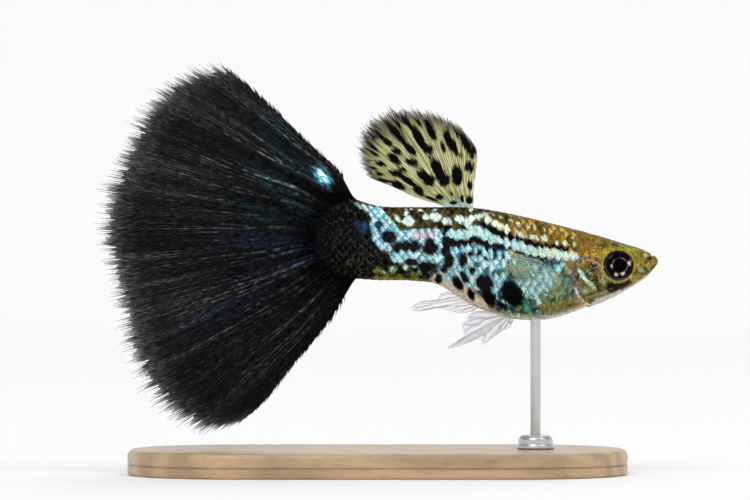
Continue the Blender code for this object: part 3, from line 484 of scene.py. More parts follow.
def noise(u, v, grain, seed):
    """Smooth random values from -1 to 1: random numbers on a grid, blended between its corners."""
    table = np.random.default_rng(seed).uniform(-1, 1, (64, 64))
    u, v = np.asarray(u) / grain, np.asarray(v) / grain
    i, j = np.floor(u).astype(int), np.floor(v).astype(int)
    fu, fv = smooth(u - i), smooth(v - j)
    i, j, right, above = i % 64, j % 64, (i + 1) % 64, (j + 1) % 64
    low = table[i, j] * (1 - fu) + table[right, j] * fu
    high = table[i, above] * (1 - fu) + table[right, above] * fu
    return low * (1 - fv) + high * fv


def hermite(knots, values, at):
    """A smooth curve through the values, one row for each knot, read at any places."""
    knots = np.asarray(knots, dtype=float)
    values = np.asarray(values, dtype=float)
    slopes = np.gradient(values, knots, axis=0)
    span = np.clip(np.searchsorted(knots, at, side="right") - 1, 0, len(knots) - 2)
    width = (knots[span + 1] - knots[span])[..., None]
    t = (np.asarray(at) - knots[span])[..., None] / width
    return (
        values[span] * (2 * t**3 - 3 * t**2 + 1)
        + slopes[span] * width * (t**3 - 2 * t**2 + t)
        + values[span + 1] * (3 * t**2 - 2 * t**3)
        + slopes[span + 1] * width * (t**3 - t**2)
    )


def even_points(points, count, curved=True):
    """Evenly spaced points along a smooth curve, or a chain of straight runs, through the given ones."""
    points = np.array(points, dtype=float)
    knots = np.r_[0, np.cumsum(np.linalg.norm(np.diff(points, axis=0), axis=1))]
    fine = points
    if curved:
        fine = hermite(knots, points, np.linspace(0, knots[-1], 24 * len(points)))
    run = np.r_[0, np.cumsum(np.linalg.norm(np.diff(fine, axis=0), axis=1))]
    at = np.linspace(0, run[-1], count)
    return np.column_stack([np.interp(at, run, fine[:, k]) for k in range(fine.shape[1])])


def near_line(x, z, line):
    """For each place, its distance to a chain of points, the share of the chain there, and the side.

    The side is 1 to the left of the chain's direction and -1 to the right.
    """
    nearest = np.full(np.shape(x), np.inf)
    share = np.zeros(np.shape(x))
    side = np.ones(np.shape(x))
    for k, ((x0, z0), (x1, z1)) in enumerate(zip(line, line[1:])):
        dx, dz = x1 - x0, z1 - z0
        t = np.clip(((x - x0) * dx + (z - z0) * dz) / (dx * dx + dz * dz), 0, 1)
        ex, ez = x - x0 - t * dx, z - z0 - t * dz
        distance = np.hypot(ex, ez)
        nearer = distance < nearest
        nearest = np.where(nearer, distance, nearest)
        share = np.where(nearer, (k + t) / (len(line) - 1), share)
        side = np.where(nearer, np.sign(dx * ez - dz * ex), side)
    return nearest, share, side


def inside(x, z, outline, soft):
    """1 inside a closed outline and 0 outside, with an edge as soft as the given width."""
    distance = near_line(x, z, [*outline, outline[0]])[0]
    within = np.zeros(np.shape(x), dtype=bool)
    for (x0, z0), (x1, z1) in zip(outline, [*outline[1:], outline[0]]):
        if z0 != z1:
            within ^= ((z0 > z) != (z1 > z)) & (x < (x1 - x0) * (z - z0) / (z1 - z0) + x0)
    return smooth(0.5 + np.where(within, distance, -distance) / soft)


def ellipse(x, z, place_x, place_z, half_length, half_width, tilt):
    """0 at an ellipse's middle, 1 on its outline and more outside."""
    turn = math.radians(tilt)
    along = (x - place_x) * math.cos(turn) + (z - place_z) * math.sin(turn)
    across = (z - place_z) * math.cos(turn) - (x - place_x) * math.sin(turn)
    return np.hypot(along / half_length, across / half_width)


def nearest_ellipse(x, z, spots):
    """The least of the ellipses' values at each place."""
    least = np.full(np.shape(x), np.inf)
    for spot in spots:
        least = np.minimum(least, ellipse(x, z, *spot))
    return least


# The body's bare shape

def body_sizes(along):
    """The section at each place along the body: x, top, bottom, half width and the two powers.

    Behind the first station the place runs round the tail stalk's flap, an arc of
    STALK_END_RADIUS. Ahead of the last one it runs round the snout, a quarter ellipse.
    """
    along = np.asarray(along, dtype=float)
    stations = np.array(BODY_STATIONS)
    first, last = stations[0, 0], stations[-1, 0]
    sizes = hermite(stations[:, 0], stations[:, 1:], np.clip(along, first, last))
    lean = np.clip((first - along) / STALK_END_RADIUS, 0, math.pi / 2)
    turn = np.clip((along - last) / SNOUT_ROUND, 0, math.pi / 2)
    x = np.clip(along, first, last) - STALK_END_RADIUS * np.sin(lean) + SNOUT_ROUND * np.sin(turn)
    top, bottom, half_width = sizes[..., 0], sizes[..., 1], sizes[..., 2]
    middle = (top + bottom) / 2
    middle = middle + (SNOUT_TIP_HEIGHT - middle) * np.sin(turn)
    half_height = (top - bottom) / 2 * np.cos(lean) * np.cos(turn)
    narrow = STALK_END_HALF_WIDTH + (half_width - STALK_END_HALF_WIDTH) * np.sqrt(1 - np.sin(lean))
    half_width = np.where(lean > 0, narrow, half_width) * np.cos(turn)
    return x, middle, half_height, half_width, sizes[..., 3], sizes[..., 4]


def section_points(along, turn):
    """Points round the body: a rounded oval of side cos and height sin, each to the power 2/p."""
    x, middle, half_height, half_width, upper, lower = body_sizes(along)
    side, rise = np.cos(turn), np.sin(turn)
    power = np.where(rise >= 0, upper, lower)
    y = half_width * np.sign(side) * np.abs(side) ** (2 / power)
    z = middle + half_height * np.sign(rise) * np.abs(rise) ** (2 / power)
    return np.stack(np.broadcast_arrays(x, y, z), axis=-1)


class Body:
    """The body's shape, read at any place along it and at any share of the way round it.

    The way round starts on the back, goes down the right side and comes up the left.
    """

    LOW = BODY_STATIONS[0][0] - STALK_END_RADIUS * math.radians(87)
    HIGH = BODY_STATIONS[-1][0] + SNOUT_ROUND * math.radians(87)
    SAMPLES = 500
    TURNS = 361

    def __init__(self):
        along = np.linspace(self.LOW, self.HIGH, self.SAMPLES)
        turn = np.linspace(math.pi / 2, math.pi * 5 / 2, self.TURNS)
        rings = section_points(along[:, None], turn[None, :])
        lengths = np.linalg.norm(np.diff(rings, axis=1), axis=2)
        run = np.concatenate([np.zeros((self.SAMPLES, 1)), np.cumsum(lengths, axis=1)], axis=1)
        run /= run[:, -1:]
        shares = np.linspace(0, 1, self.TURNS)
        self.turns = np.stack([np.interp(shares, ring, turn) for ring in run])

    def at(self, along, girth):
        """Points on the bare body, in mm."""
        along, girth = np.broadcast_arrays(along, girth)
        u = np.clip((along - self.LOW) / (self.HIGH - self.LOW), 0, 1) * (self.SAMPLES - 1)
        v = (girth % 1.0) * (self.TURNS - 1)
        i = np.minimum(u.astype(int), self.SAMPLES - 2)
        j = np.minimum(v.astype(int), self.TURNS - 2)
        fu, fv = u - i, v - j
        low = self.turns[i, j] * (1 - fv) + self.turns[i, j + 1] * fv
        high = self.turns[i + 1, j] * (1 - fv) + self.turns[i + 1, j + 1] * fv
        return section_points(along, low * (1 - fu) + high * fu)

    def outward(self, along, girth):
        """The direction straight out of the body: the cross product of its two tangents."""
        d_along, d_girth = 0.03, 0.002
        forward = self.at(along + d_along, girth) - self.at(along - d_along, girth)
        round_it = self.at(along, girth + d_girth) - self.at(along, girth - d_girth)
        out = np.cross(round_it, forward)
        return out / np.maximum(np.linalg.norm(out, axis=-1, keepdims=True), 1e-9)


# Painting

def pigment(name):
    """A pigment as the light it throws back, from its display value by the sRGB curve."""
    display = np.array(PIGMENTS[name]) / 255
    return np.where(display <= 0.04045, display / 12.92, ((display + 0.055) / 1.055) ** 2.4)


def over(colour, name, mask):
    """A pigment laid over a colour as thick as the mask says."""
    return colour + (pigment(name) - colour) * np.asarray(mask)[..., None]


def touch(colour, x, z, touches, wobble, strength):
    """Soft elliptical touches of several pigments, one after another."""
    for name, *spot, soft in touches:
        away = ellipse(x, z, *spot) + wobble
        colour = over(colour, name, strength * step(away, 1 + soft / 2, 1 - soft / 2))
    return colour


def draw(colour, x, z, lines, wobble):
    """Brush lines of several pigments, one after another."""
    for name, half_width, soft, points in lines:
        away = near_line(x, z, points)[0] / half_width + wobble
        colour = over(colour, name, step(away, 1 + soft, 1 - soft / 2))
    return colour


def seen_places(points):
    """Where the camera sees each point on the middle plane, which is where its markings are laid out."""
    nearer = CAMERA_PLACE[1] / (CAMERA_PLACE[1] + np.abs(points[..., 1]))
    return (CAMERA_PLACE[k] + (points[..., k] - CAMERA_PLACE[k]) * nearer for k in (0, 2))


def back_paint(x, luck, rim, line):
    """The back: dark scale centres in olive edges, which turn into golden scales towards the head, some with a painted
    highlight in the middle.
    """
    tail_half = np.tile(pigment("back_centre"), (len(x), 1))
    tail_half = over(tail_half, "back_edge", np.clip(rim * 0.5 + 1.8 * (luck[:, 0] - 0.6), 0, 1))
    tail_half = over(tail_half, "back_line", (0.3 + 0.7 * luck[:, 1]) * line)
    head_half = np.tile(pigment("gold_centre"), (len(x), 1))
    head_half = over(head_half, "gold_edge", np.clip(rim * 0.5 + 1.8 * (luck[:, 1] - 0.55), 0, 0.9))
    # painted highlight: a bright gold spot in the middle of some golden scales
    head_half = over(head_half, "gold_painted_highlight", step(luck[:, 0], 0.55, 0.95) * (1 - rim))
    head_half = over(head_half, "gold_edge", 0.8 * line)
    gold = step(x + 2 * luck[:, 2], 11.0, 16.5)[:, None]
    return tail_half * (1 - gold) + head_half * gold


def flank_paint(colour, x, z, luck, rim, line, wobble):
    """The light field of the flank, cell by cell white or sky blue, with thin lines between them."""
    field = inside(x + 0.12 * wobble, z + 0.12 * wobble, FLANK_LIGHT, 0.22)
    patches = step(nearest_ellipse(x, z, CYAN_PATCHES) + 0.22 * wobble, 1.22, 0.9)
    light = np.maximum(field, patches)
    colour = over(colour, "sky", light)
    colour = over(colour, "ice", light * np.clip(1.0 * luck[:, 0] + 0.6 - 1.3 * rim, 0, 1))
    dim = np.clip(rim * (0.10 + 0.7 * luck[:, 2]) + 2.5 * (luck[:, 2] - 0.86), 0, 1)
    colour = over(colour, "deep_blue", light * dim * 0.85)
    colour = over(colour, "scale_line", light * line * (0.5 + 0.5 * luck[:, 1]))
    return colour, light


def lines_paint(colour, x, z, luck, rim, line, wobble):
    """The two pale lines and the dark bars between them."""
    upper = step(nearest_ellipse(x, z, BACK_LINE_PATCHES) + 0.25 * wobble, 1.2, 0.9)
    colour = over(colour, "ice", upper)
    colour = over(colour, "lemon", upper * (0.2 + 0.8 * step(x, 6.0, 15.0)) * np.clip(luck[:, 0] + 0.4 * rim, 0, 1))
    flecks = step(nearest_ellipse(x, z, PALE_GOLD_FLECKS) + 0.3 * wobble, 1.4, 0.8)
    colour = over(colour, "lemon", flecks * 0.8)
    colour = draw(colour, x, z, MARKING_LINES, 0.4 * wobble)
    colour = over(colour, "back_edge", 0.75 * line * upper)
    main = step(near_line(x, z, MAIN_LINE)[0] / 0.36 + 0.35 * wobble, 1.3, 0.85)
    colour = over(colour, "ice", main)
    colour = over(colour, "sky", main * np.clip(rim * 0.6 + 0.5 * (luck[:, 0] - 0.5), 0, 1))
    colour = over(colour, "lemon", main * step(x, 12.5, 18.0) * np.clip(0.9 * luck[:, 1], 0, 1))
    colour = over(colour, "leaf", main * line * (0.3 + 0.5 * luck[:, 1]))
    return colour, np.maximum(upper, main)


def body_paint(x, z, luck, rim, line, true_x, true_z):
    """The whole body's markings at places seen from the side, and how pearly each place is.

    luck is three random shares for each scale. rim rises to 1 at a scale's free edge, and line is
    1 right on it. The black spots keep to their true places, and the rest goes scale by scale.
    """
    wobble = noise(x, z, 0.22, 3)
    fine = noise(x, z, 0.11, 4)
    _, middle, half_height, *_ = body_sizes(np.clip(x, BODY_STATIONS[0][0], BODY_STATIONS[-1][0]))
    height = (z - middle) / half_height  # from -1 under the belly to 1 on the back
    colour = back_paint(x, luck, rim, line)
    gut = inside(x, z, GUT, 0.7)
    colour = over(colour, "teal", gut * (0.6 + 0.3 * wobble))
    colour = over(colour, "deep_teal", gut * 0.8 * step(luck[:, 0] + 0.5 * fine, 0.6, 0.1))
    colour = over(colour, "mint", gut * step(fine + 0.5 * wobble, 0.20, 0.85) * step(x, 18.2, 16.8))
    colour = over(colour, "ink", gut * 0.6 * step(fine + 0.5 * wobble, -0.35, -0.95))
    belly = inside(x, z, REAR_BELLY, 0.45)
    colour = over(colour, "belly", belly * (1 - 0.15 * rim))
    colour = over(colour, "tan", 0.7 * belly * line * luck[:, 1])
    colour, light = flank_paint(colour, x, z, luck, rim, line, wobble)
    colour = touch(colour, x, z, BODY_TOUCHES, 0.3 * wobble + 0.5 * (luck[:, 2] - 0.5), 0.85)
    pale = step(nearest_ellipse(x, z, PALE_SCALES) + 0.3 * wobble + 0.25 * rim, 1.75, 1.05)
    colour = over(colour, "sky", 0.9 * pale)
    colour = over(colour, "ice", pale * np.clip(1.1 - 0.8 * rim - 0.4 * luck[:, 0], 0, 1))
    colour = over(colour, "deep_teal", 0.8 * line * gut)
    colour, upper = lines_paint(colour, x, z, luck, rim, line, wobble)
    spots = nearest_ellipse(true_x, true_z, BLACK_SPOTS) + 0.16 * noise(true_x, true_z, 0.2, 10)
    fringe = step(spots, 1.75, 1.05) * step(x, -1.0, 1.0) * step(z, 17.0, 18.6)
    colour = over(colour, "deep_blue", 0.6 * fringe)
    colour = over(colour, "deep_teal", step(nearest_ellipse(x, z, DARK_TEAL_PATCHES) + 0.3 * wobble, 1.3, 0.7) * 0.85)
    black = step(spots, 1.32, 1.10)
    colour = over(colour, "ink", black)
    colour = over(colour, "stalk_edge", 0.5 * line * black * luck[:, 1] * step(x, 8.5, 5.5))
    under = step(height, -0.86, -0.99) * step(x, 11.0, 14.5)
    colour = over(colour, "silver", under)
    stalk = inside(x + 0.15 * (luck[:, 0] - 0.5), z + 0.2 * (luck[:, 1] - 0.5), BLACK_STALK, 0.2)
    stalk = stalk * (1 - step(nearest_ellipse(x, z, CYAN_PATCHES[:7]) + 0.2 * wobble, 1.2, 0.9))
    colour = over(colour, "stalk", stalk)
    net = (0.3 + 0.7 * luck[:, 1]) * (0.40 + 0.36 * step(x, -4.5, -1.0)) * (0.6 + 0.4 * fine)
    colour = over(colour, "stalk_edge", stalk * line * net)
    specks = step(fine + 0.5 * wobble, 0.35, 0.9) * (0.5 + 0.5 * step(x, -4.5, -1.5))
    colour = over(colour, "stalk_edge", 0.36 * stalk * specks)
    blue = stalk * step(luck[:, 2], 0.4, 0.8) * step(x, -3.5, -1.0) * step(z, 20.5, 22.0)
    colour = over(colour, "glint_blue", 0.3 * blue * (1 - rim) * (0.6 + 0.4 * wobble))
    speckle = np.clip(0.45 + 0.55 * luck[:, 0] + 0.5 * fine + 0.2 * wobble - 0.4 * line, 0, 1)
    colour = touch(colour, x, z, STALK_TOUCHES, 0.3 * wobble, speckle)
    pearly = np.clip(light + upper + pale + under, 0, 1) * (1 - stalk)
    colour = colour * (1 + 0.16 * fine + 0.10 * wobble)[:, None]
    return np.clip(colour, 0, 1), pearly


def head_paint(colour, x, z, depth):
    """The head's markings over what the body's paint leaves there.

    depth is each place's distance from the middle plane. The grain is laid out along the body and
    up the section's outline, as an angle times the half height, so the back and belly don't draw
    it out.
    """
    _, middle, half_height, half_width, *_ = body_sizes(np.clip(x, BODY_STATIONS[0][0], BODY_STATIONS[-1][0]))
    height = (z - middle) / half_height
    rise = middle + half_height * np.arctan2(height, depth / half_width)
    wobble = noise(x, rise, 0.20, 5)
    fine = noise(x, rise, 0.09, 6)
    mottle = noise(x, rise, 0.45, 7)
    edge, _, side = near_line(x, z, even_points(GILL_COVER_EDGE, 24))
    soft = 0.06 + 1.6 * step(z, GILL_COVER_TOP - 0.2, GILL_COVER_TOP + 0.8)
    ahead = smooth(0.5 + 0.5 * (edge * side + 0.3 * wobble * (soft > 0.1)) / soft)
    ground = np.tile(pigment("head_ground"), (len(x), 1))
    ground = over(ground, "head_gold", 0.35 * step(mottle, 0.0, 0.8))
    ground = over(ground, "dark_olive", 0.55 * step(mottle, 0.0, -0.8))
    colour = colour * (1 - ahead[:, None]) + ground * ahead[:, None]
    dust = noise(x, rise, 0.13, 9)
    coarse = noise(x, rise, 0.28, 16)
    broken = 0.35 * wobble + 0.45 * coarse + 0.35 * dust
    strength = np.clip(0.60 + 0.5 * dust + 0.35 * coarse, 0, 1)
    colour = touch(colour, x, z, HEAD_TOUCHES, broken, strength)
    colour = draw(colour, x, z, HEAD_LINES, broken)
    round_eye = np.hypot(x - EYE_PLACE[0], z - EYE_PLACE[1]) / EYE_RADIUS
    ring = step(round_eye, 1.32, 1.12) * ahead
    colour = over(colour, "head_yellow", 0.75 * ring)
    colour = over(colour, "tan", 0.6 * ring * step(z, EYE_PLACE[1] - 0.4, EYE_PLACE[1] - 1.2))
    colour = over(colour, "umber", step(round_eye, 1.04, 0.99) * ahead)
    colour = over(colour, "head_edge", 0.5 * ahead * step(height, 0.88, 1.0))
    colour = over(colour, "umber", 0.7 * step(fine + dust + 0.6 * coarse, 0.2, 1.3) * ahead)
    glint = 0.3 * step(z, 18.5, 19.1) + 0.5 * step(x, 22.3, 21.7)
    colour = over(colour, "silver_green", glint * step(fine - dust, 0.4, 1.4) * ahead * step(z, 21.9, 20.0))
    # painted highlights: bright gold specks on the upper head
    colour = over(colour, "gold_painted_highlight", 0.7 * step(fine - dust, 0.3, 1.3) * ahead * step(z, 19.6, 21.2))
    colour = colour * (1 + (0.40 * fine + 0.25 * wobble + 0.25 * dust) * ahead)[:, None]
    colour = draw(colour, x, z, THROAT_LINES, 0.3 * wobble + 0.2 * dust)
    return np.clip(colour, 0, 1)


# Meshes

def grid_faces(rows, columns, wrap=False):
    """The four-cornered faces between neighbours on a grid of points, counted row by row."""
    i, j = np.meshgrid(np.arange(rows - 1), np.arange(columns if wrap else columns - 1), indexing="ij")
    right = (j + 1) % columns
    corners = [i * columns + j, i * columns + right, (i + 1) * columns + right, (i + 1) * columns + j]
    return np.stack(corners, axis=-1).reshape(-1, 4)


def many(faces, points_each, count):
    """The same faces for each of many like patches of points."""
    return (faces[None] + points_each * np.arange(count)[:, None, None]).reshape(-1, faces.shape[1])


def make_piece(name, points, faces, slot, replaced, finish, paint=None, bake=None, **values):
    """Makes a mesh piece from arrays, hangs it under the root body and hides the frame's parts that it replaces.

    faces is one array of faces, or several of different numbers of corners. paint is a colour for
    each point, bake a place on the unwrap for each point, and values are numbers for each point.
    """
    groups = faces if isinstance(faces, (list, tuple)) else [faces]
    corners = np.concatenate([group.ravel() for group in groups])
    sizes = np.concatenate([np.full(len(group), group.shape[1]) for group in groups])
    mesh = bpy.data.meshes.new(name)
    mesh.vertices.add(len(points))
    mesh.vertices.foreach_set("co", (np.asarray(points) * MM).astype(np.float32).ravel())
    mesh.loops.add(len(corners))
    mesh.loops.foreach_set("vertex_index", corners.astype(np.int32))
    mesh.polygons.add(len(sizes))
    mesh.polygons.foreach_set("loop_start", np.r_[0, np.cumsum(sizes)[:-1]].astype(np.int32))
    mesh.update(calc_edges=True)
    mesh.shade_smooth()
    if paint is not None:
        layer = mesh.color_attributes.new("Paint", "FLOAT_COLOR", "POINT")
        alpha = paint if paint.shape[1] == 4 else np.column_stack([paint, np.ones(len(paint))])
        layer.data.foreach_set("color", alpha.astype(np.float32).ravel())
    for key, value in values.items():
        layer = mesh.attributes.new(key.title(), "FLOAT", "POINT")
        layer.data.foreach_set("value", np.asarray(value, dtype=np.float32).ravel())
    if bake is not None:
        layer = mesh.uv_layers.new(name="OFBake")
        layer.data.foreach_set("uv", bake[corners].astype(np.float32).ravel())
    mesh.materials.append(finish)
    piece = bpy.data.objects.new(name, mesh)
    bpy.context.scene.collection.objects.link(piece)
    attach(piece, "root")
    if replaced:
        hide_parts(*replaced)
    return piece


def thicken(piece, thickness):
    """Gives a sheet two faces and a closed rim."""
    solid = piece.modifiers.new("thickness", "SOLIDIFY")
    solid.thickness = thickness * MM
    solid.offset = 0


# Materials

class Flow:
    """A number on its way through a material. Sums written with it add their Math nodes."""

    def __init__(self, shader, socket):
        self.shader = shader
        self.socket = socket

    def join(self, operation, first, second):
        return self.shader.node("Math", {"operation": operation}, {0: first, 1: second})

    def __add__(self, other):
        return self.join("ADD", self, other)

    def __radd__(self, other):
        return self.join("ADD", other, self)

    def __sub__(self, other):
        return self.join("SUBTRACT", self, other)

    def __rsub__(self, other):
        return self.join("SUBTRACT", other, self)

    def __mul__(self, other):
        return self.join("MULTIPLY", self, other)

    def __rmul__(self, other):
        return self.join("MULTIPLY", other, self)

    def __truediv__(self, other):
        return self.join("DIVIDE", self, other)


class Shader:
    """The nodes of one material."""

    def __init__(self, name, **constants):
        self.material = bpy.data.materials.new(name)
        self.material.use_nodes = True
        self.tree = self.material.node_tree
        self.surface = self.tree.nodes["Principled BSDF"]
        for key, value in constants.items():
            self.surface.inputs[key.replace("_", " ")].default_value = value

    def fill(self, socket, value):
        """Links a flow or a socket to a socket, or sets the socket's own value."""
        if isinstance(value, Flow):
            value = value.socket
        if isinstance(value, bpy.types.NodeSocket):
            self.tree.links.new(value, socket)
        else:
            socket.default_value = value

    def node(self, kind, settings=None, inputs=None, out=0):
        """Adds a node, sets it up, fills its sockets and returns one of its outputs as a flow."""
        made = self.tree.nodes.new("ShaderNode" + kind)
        for key, value in (settings or {}).items():
            if key == "stops":
                for spare in range(len(value) - 2):
                    made.color_ramp.elements.new(0.5)
                for element, (place, colour) in zip(made.color_ramp.elements, value):
                    element.position = place
                    element.color = (*colour, 1.0)
            else:
                setattr(made, key, value)
        for key, value in (inputs or {}).items():
            self.fill(made.inputs[key], value)
        return Flow(self, made.outputs[out])

    def drive(self, **flows):
        """Lets what varies over the surface drive the finish."""
        for key, value in flows.items():
            self.fill(self.surface.inputs[key.replace("_", " ")], value)

    def attribute(self, name, out="Fac"):
        return self.node("Attribute", {"attribute_name": name}, out=out)

    def places(self, stretch=(1.0, 1.0, 1.0)):
        """Object coordinates in millimetres, stretched along the axes."""
        raw = self.node("TexCoord", out="Object")
        size = tuple(1000.0 * share for share in stretch)
        return self.node("Mapping", inputs={"Vector": raw, "Scale": size})

    def grain(self, places, scale, detail=4.0, roughness=0.55):
        """Fractal noise from 0 to 1."""
        inputs = {"Vector": places, "Scale": scale, "Detail": detail, "Roughness": roughness}
        return self.node("TexNoise", inputs=inputs)

    def blend(self, factor, first, second, kind="MIX"):
        """Mixes two colours."""
        settings = {"data_type": "RGBA", "blend_type": kind}
        return self.node("Mix", settings, {0: factor, 6: first, 7: second}, out=2)

    def bump(self, height, distance, strength=1.0):
        """Turns a height into a tilt of the surface. The distance is in millimetres."""
        inputs = {"Height": height, "Distance": distance * MM, "Strength": strength}
        return self.node("Bump", inputs=inputs)


def skin_finish(name, roughness):
    """Wet skin: painted colour under a fine grain that partly varies the tone and partly paints a sparkle of
    highlights, pearly where the paint is, under a thin gloss.
    """
    shader = Shader(name, Specular_IOR_Level=0.02, Coat_Roughness=0.15)
    places = shader.places()
    fine = shader.grain(places, 9.0, 5.0)
    cells = shader.node("TexVoronoi", inputs={"Vector": places, "Scale": 7.0}, out="Distance")
    paint = shader.attribute("Paint", "Color")
    pearl = shader.attribute("Pearly")
    # partly random tone, partly painted sparkle: two grains darken the colour or brighten it to nearly twice as light
    shade = (2.4 * fine - 0.20) * (0.5 + shader.grain(places, 3.5, 3.0))
    colour = shader.blend(1.0, paint, shader.node("CombineColor", inputs={0: shade, 1: shade, 2: shade}), "MULTIPLY")
    shader.drive(
        Base_Color=colour,
        Metallic=pearl * 0.35,
        Coat_Weight=0.01 + 0.12 * pearl,
        Roughness=roughness + 0.12 * fine - 0.06 * pearl,
        Normal=shader.bump(fine + 0.4 * cells, 0.02, 0.6),
    )
    return shader.material


def eye_finish():
    """A painted eye under a clear, wet cornea."""
    shader = Shader("eye_paint", Coat_Weight=0.02, Coat_Roughness=0.02, Specular_IOR_Level=0.01)
    fine = shader.grain(shader.places(), 12.0, 4.0)
    shader.drive(
        Base_Color=shader.attribute("Paint", "Color"),
        Roughness=0.22 + 0.15 * fine,
        Normal=shader.bump(fine, 0.01, 0.4),
    )
    return shader.material


def fin_finish(name, roughness, specular, grain_height=0.01, glints=False):
    """Membrane and rays: painted colour, clear where the paint is thin.

    Glints are short light and dark dashes along the rays. They follow the piece's own map, which
    runs across the rays one way and along them the other.
    """
    shader = Shader(name, Specular_IOR_Level=specular)
    fine = shader.grain(shader.places(), 6.0, 5.0)
    colour = shader.attribute("Paint", "Color")
    if glints:
        own_map = shader.node("UVMap", {"uv_map": "OFBake"})
        dashes = shader.grain(shader.node("Mapping", inputs={"Vector": own_map, "Scale": GLINT_COUNTS}), 1.0, 2.0)
        shade = dashes * dashes * dashes * dashes * 20.0 + 0.04
        colour = shader.blend(1.0, colour, shader.node("CombineColor", inputs={0: shade, 1: shade, 2: shade}), "MULTIPLY")
    shader.drive(
        Base_Color=colour,
        Alpha=shader.attribute("Cover"),
        Roughness=roughness + 0.15 * fine,
        Normal=shader.bump(fine, grain_height, 0.5),
    )
    return shader.material


def wood_finish(colour):
    """Close-grained wood under satin varnish: long fibres, growth rings and open pores."""
    shader = Shader("stand_wood_grain", Coat_Weight=0.35, Coat_Roughness=0.22, Specular_IOR_Level=0.4)
    fibres = shader.grain(shader.places((0.05, 1.0, 1.0)), 5.0, 6.0, 0.65)
    drift = shader.grain(shader.places((0.04, 0.12, 0.12)), 1.0, 3.0)
    across = shader.node("SeparateXYZ", inputs={0: shader.places()}, out=1)
    rings = shader.node("Math", {"operation": "SINE"}, {0: across * 1.9 + drift * 26.0})
    pores = shader.grain(shader.places((0.14, 2.2, 2.2)), 4.0, 2.0)
    open_pores = shader.node("MapRange", inputs={0: pores, 1: 0.60, 2: 0.72})
    light = tuple(min(1.0, share * 1.25) for share in colour)
    dark = tuple(share * 0.62 for share in colour)
    tone = shader.blend(0.5 + 0.22 * rings + 0.5 * (fibres - 0.5), (*dark, 1), (*light, 1))
    tone = shader.blend(open_pores * 0.55, tone, (*(share * 0.35 for share in colour), 1))
    shader.drive(
        Base_Color=tone,
        Roughness=0.34 + 0.18 * fibres,
        Normal=shader.bump(fibres - 0.7 * open_pores, 0.05, 0.5),
    )
    return shader.material


def steel_finish(colour):
    """Ground steel: fine rings round the bar and a slightly uneven polish."""
    shader = Shader("stand_steel_ground", Metallic=1.0)
    rings = shader.grain(shader.places((0.2, 0.2, 6.0)), 5.0, 4.0, 0.7)
    cloud = shader.grain(shader.places(), 0.8, 3.0)
    shader.drive(
        Base_Color=shader.blend(rings, (*(share * 0.8 for share in colour), 1), (*colour, 1)),
        Roughness=0.20 + 0.14 * rings + 0.08 * cloud,
        Normal=shader.bump(rings, 0.01, 0.6),
    )
    return shader.material


def stage_finish(colour):
    """A pale matt sweep with a barely visible tooth."""
    shader = Shader("stage_paper", Roughness=0.9, Specular_IOR_Level=0.1)
    tooth = shader.grain(shader.places(), 1.5, 3.0)
    shader.drive(
        Base_Color=shader.blend(tooth, (*(share * 0.985 for share in colour), 1), (*colour, 1)),
        Normal=shader.bump(tooth, 0.02, 0.2),
    )
    return shader.material


# The skin

def head_relief(x, z):
    """How far the skin stands out or in, in mm: sums of steps and of bell curves round lines."""
    def bell(distance, width):
        return np.exp(-((distance / width) ** 2))

    gill, _, side = near_line(x, z, even_points(GILL_COVER_EDGE, 40))
    ahead = gill * side
    below_nape = step(z, GILL_COVER_TOP + 0.4, GILL_COVER_TOP - 0.4)
    relief = 0.13 * step(ahead, -0.03, 0.07) * step(ahead, 2.2, 0.2) * below_nape
    relief -= 0.07 * bell(ahead + 0.12, 0.14) * below_nape
    relief += 0.03 * bell(ahead - 0.22, 0.12) * below_nape
    relief -= 0.06 * bell(near_line(x, z, even_points(CHEEK_CREASE, 20))[0], 0.13)
    relief -= 0.05 * bell(near_line(x, z, even_points(THROAT_FOLD, 20))[0], 0.09) * step(x, 26.4, 25.6)
    relief -= 0.07 * bell(near_line(x, z, MOUTH_CORNER_FOLD)[0], 0.08)
    cleft, share, _ = near_line(x, z, even_points(MOUTH_CLEFT, 20))
    relief -= 0.24 * bell(cleft, 0.08) * step(share, 1.0, 0.7) * (0.45 + 0.55 * step(share, 0.2, 0.5))
    relief += 0.03 * bell(cleft - 0.26, 0.12) * step(x, 25.6, 26.1)
    relief += (0.07 + 0.06 * step(x, 25.0, 26.0)) * step(z - 0.62 * (x - 26.0), 19.9, 19.3) * step(x, 20.6, 22.5) \
        * step(x, 26.8, 25.9)
    relief -= 0.08 * step(x, 26.5, 26.95) * step(np.abs(z - 20.50), 0.10, 0.50)
    for nostril in NOSTRILS:
        relief -= 0.12 * bell(np.hypot(x - nostril[0], z - nostril[1]), 0.11)
    for pore in HEAD_PORES:
        relief -= 0.035 * bell(np.hypot(x - pore[0], z - pore[1]), 0.07)
    return relief + 0.012 * noise(x, z, 0.16, 8) * step(x, 18.5, 20.0)


def seat_eye(points):
    """Draws the skin in round each eye: level with the rim near it, and down into a socket inside."""
    x, y, z = points[..., 0], points[..., 1], points[..., 2]
    away = np.hypot(x - EYE_PLACE[0], z - EYE_PLACE[1])
    rim = EYE_RIM_OUT - EYE_TILT * (x - EYE_PLACE[0])
    near = step(away, 2.35, 1.62)
    out = np.abs(y) * (1 - near) + rim * near
    out = out + 0.05 * np.exp(-(((away - 1.58) / 0.10) ** 2))
    out = out - 0.75 * step(away, EYE_RADIUS + 0.05, EYE_RADIUS - 0.10)
    seated = points.copy()
    seated[..., 1] = np.where(near > 0, np.sign(y) * out, y)
    return seated


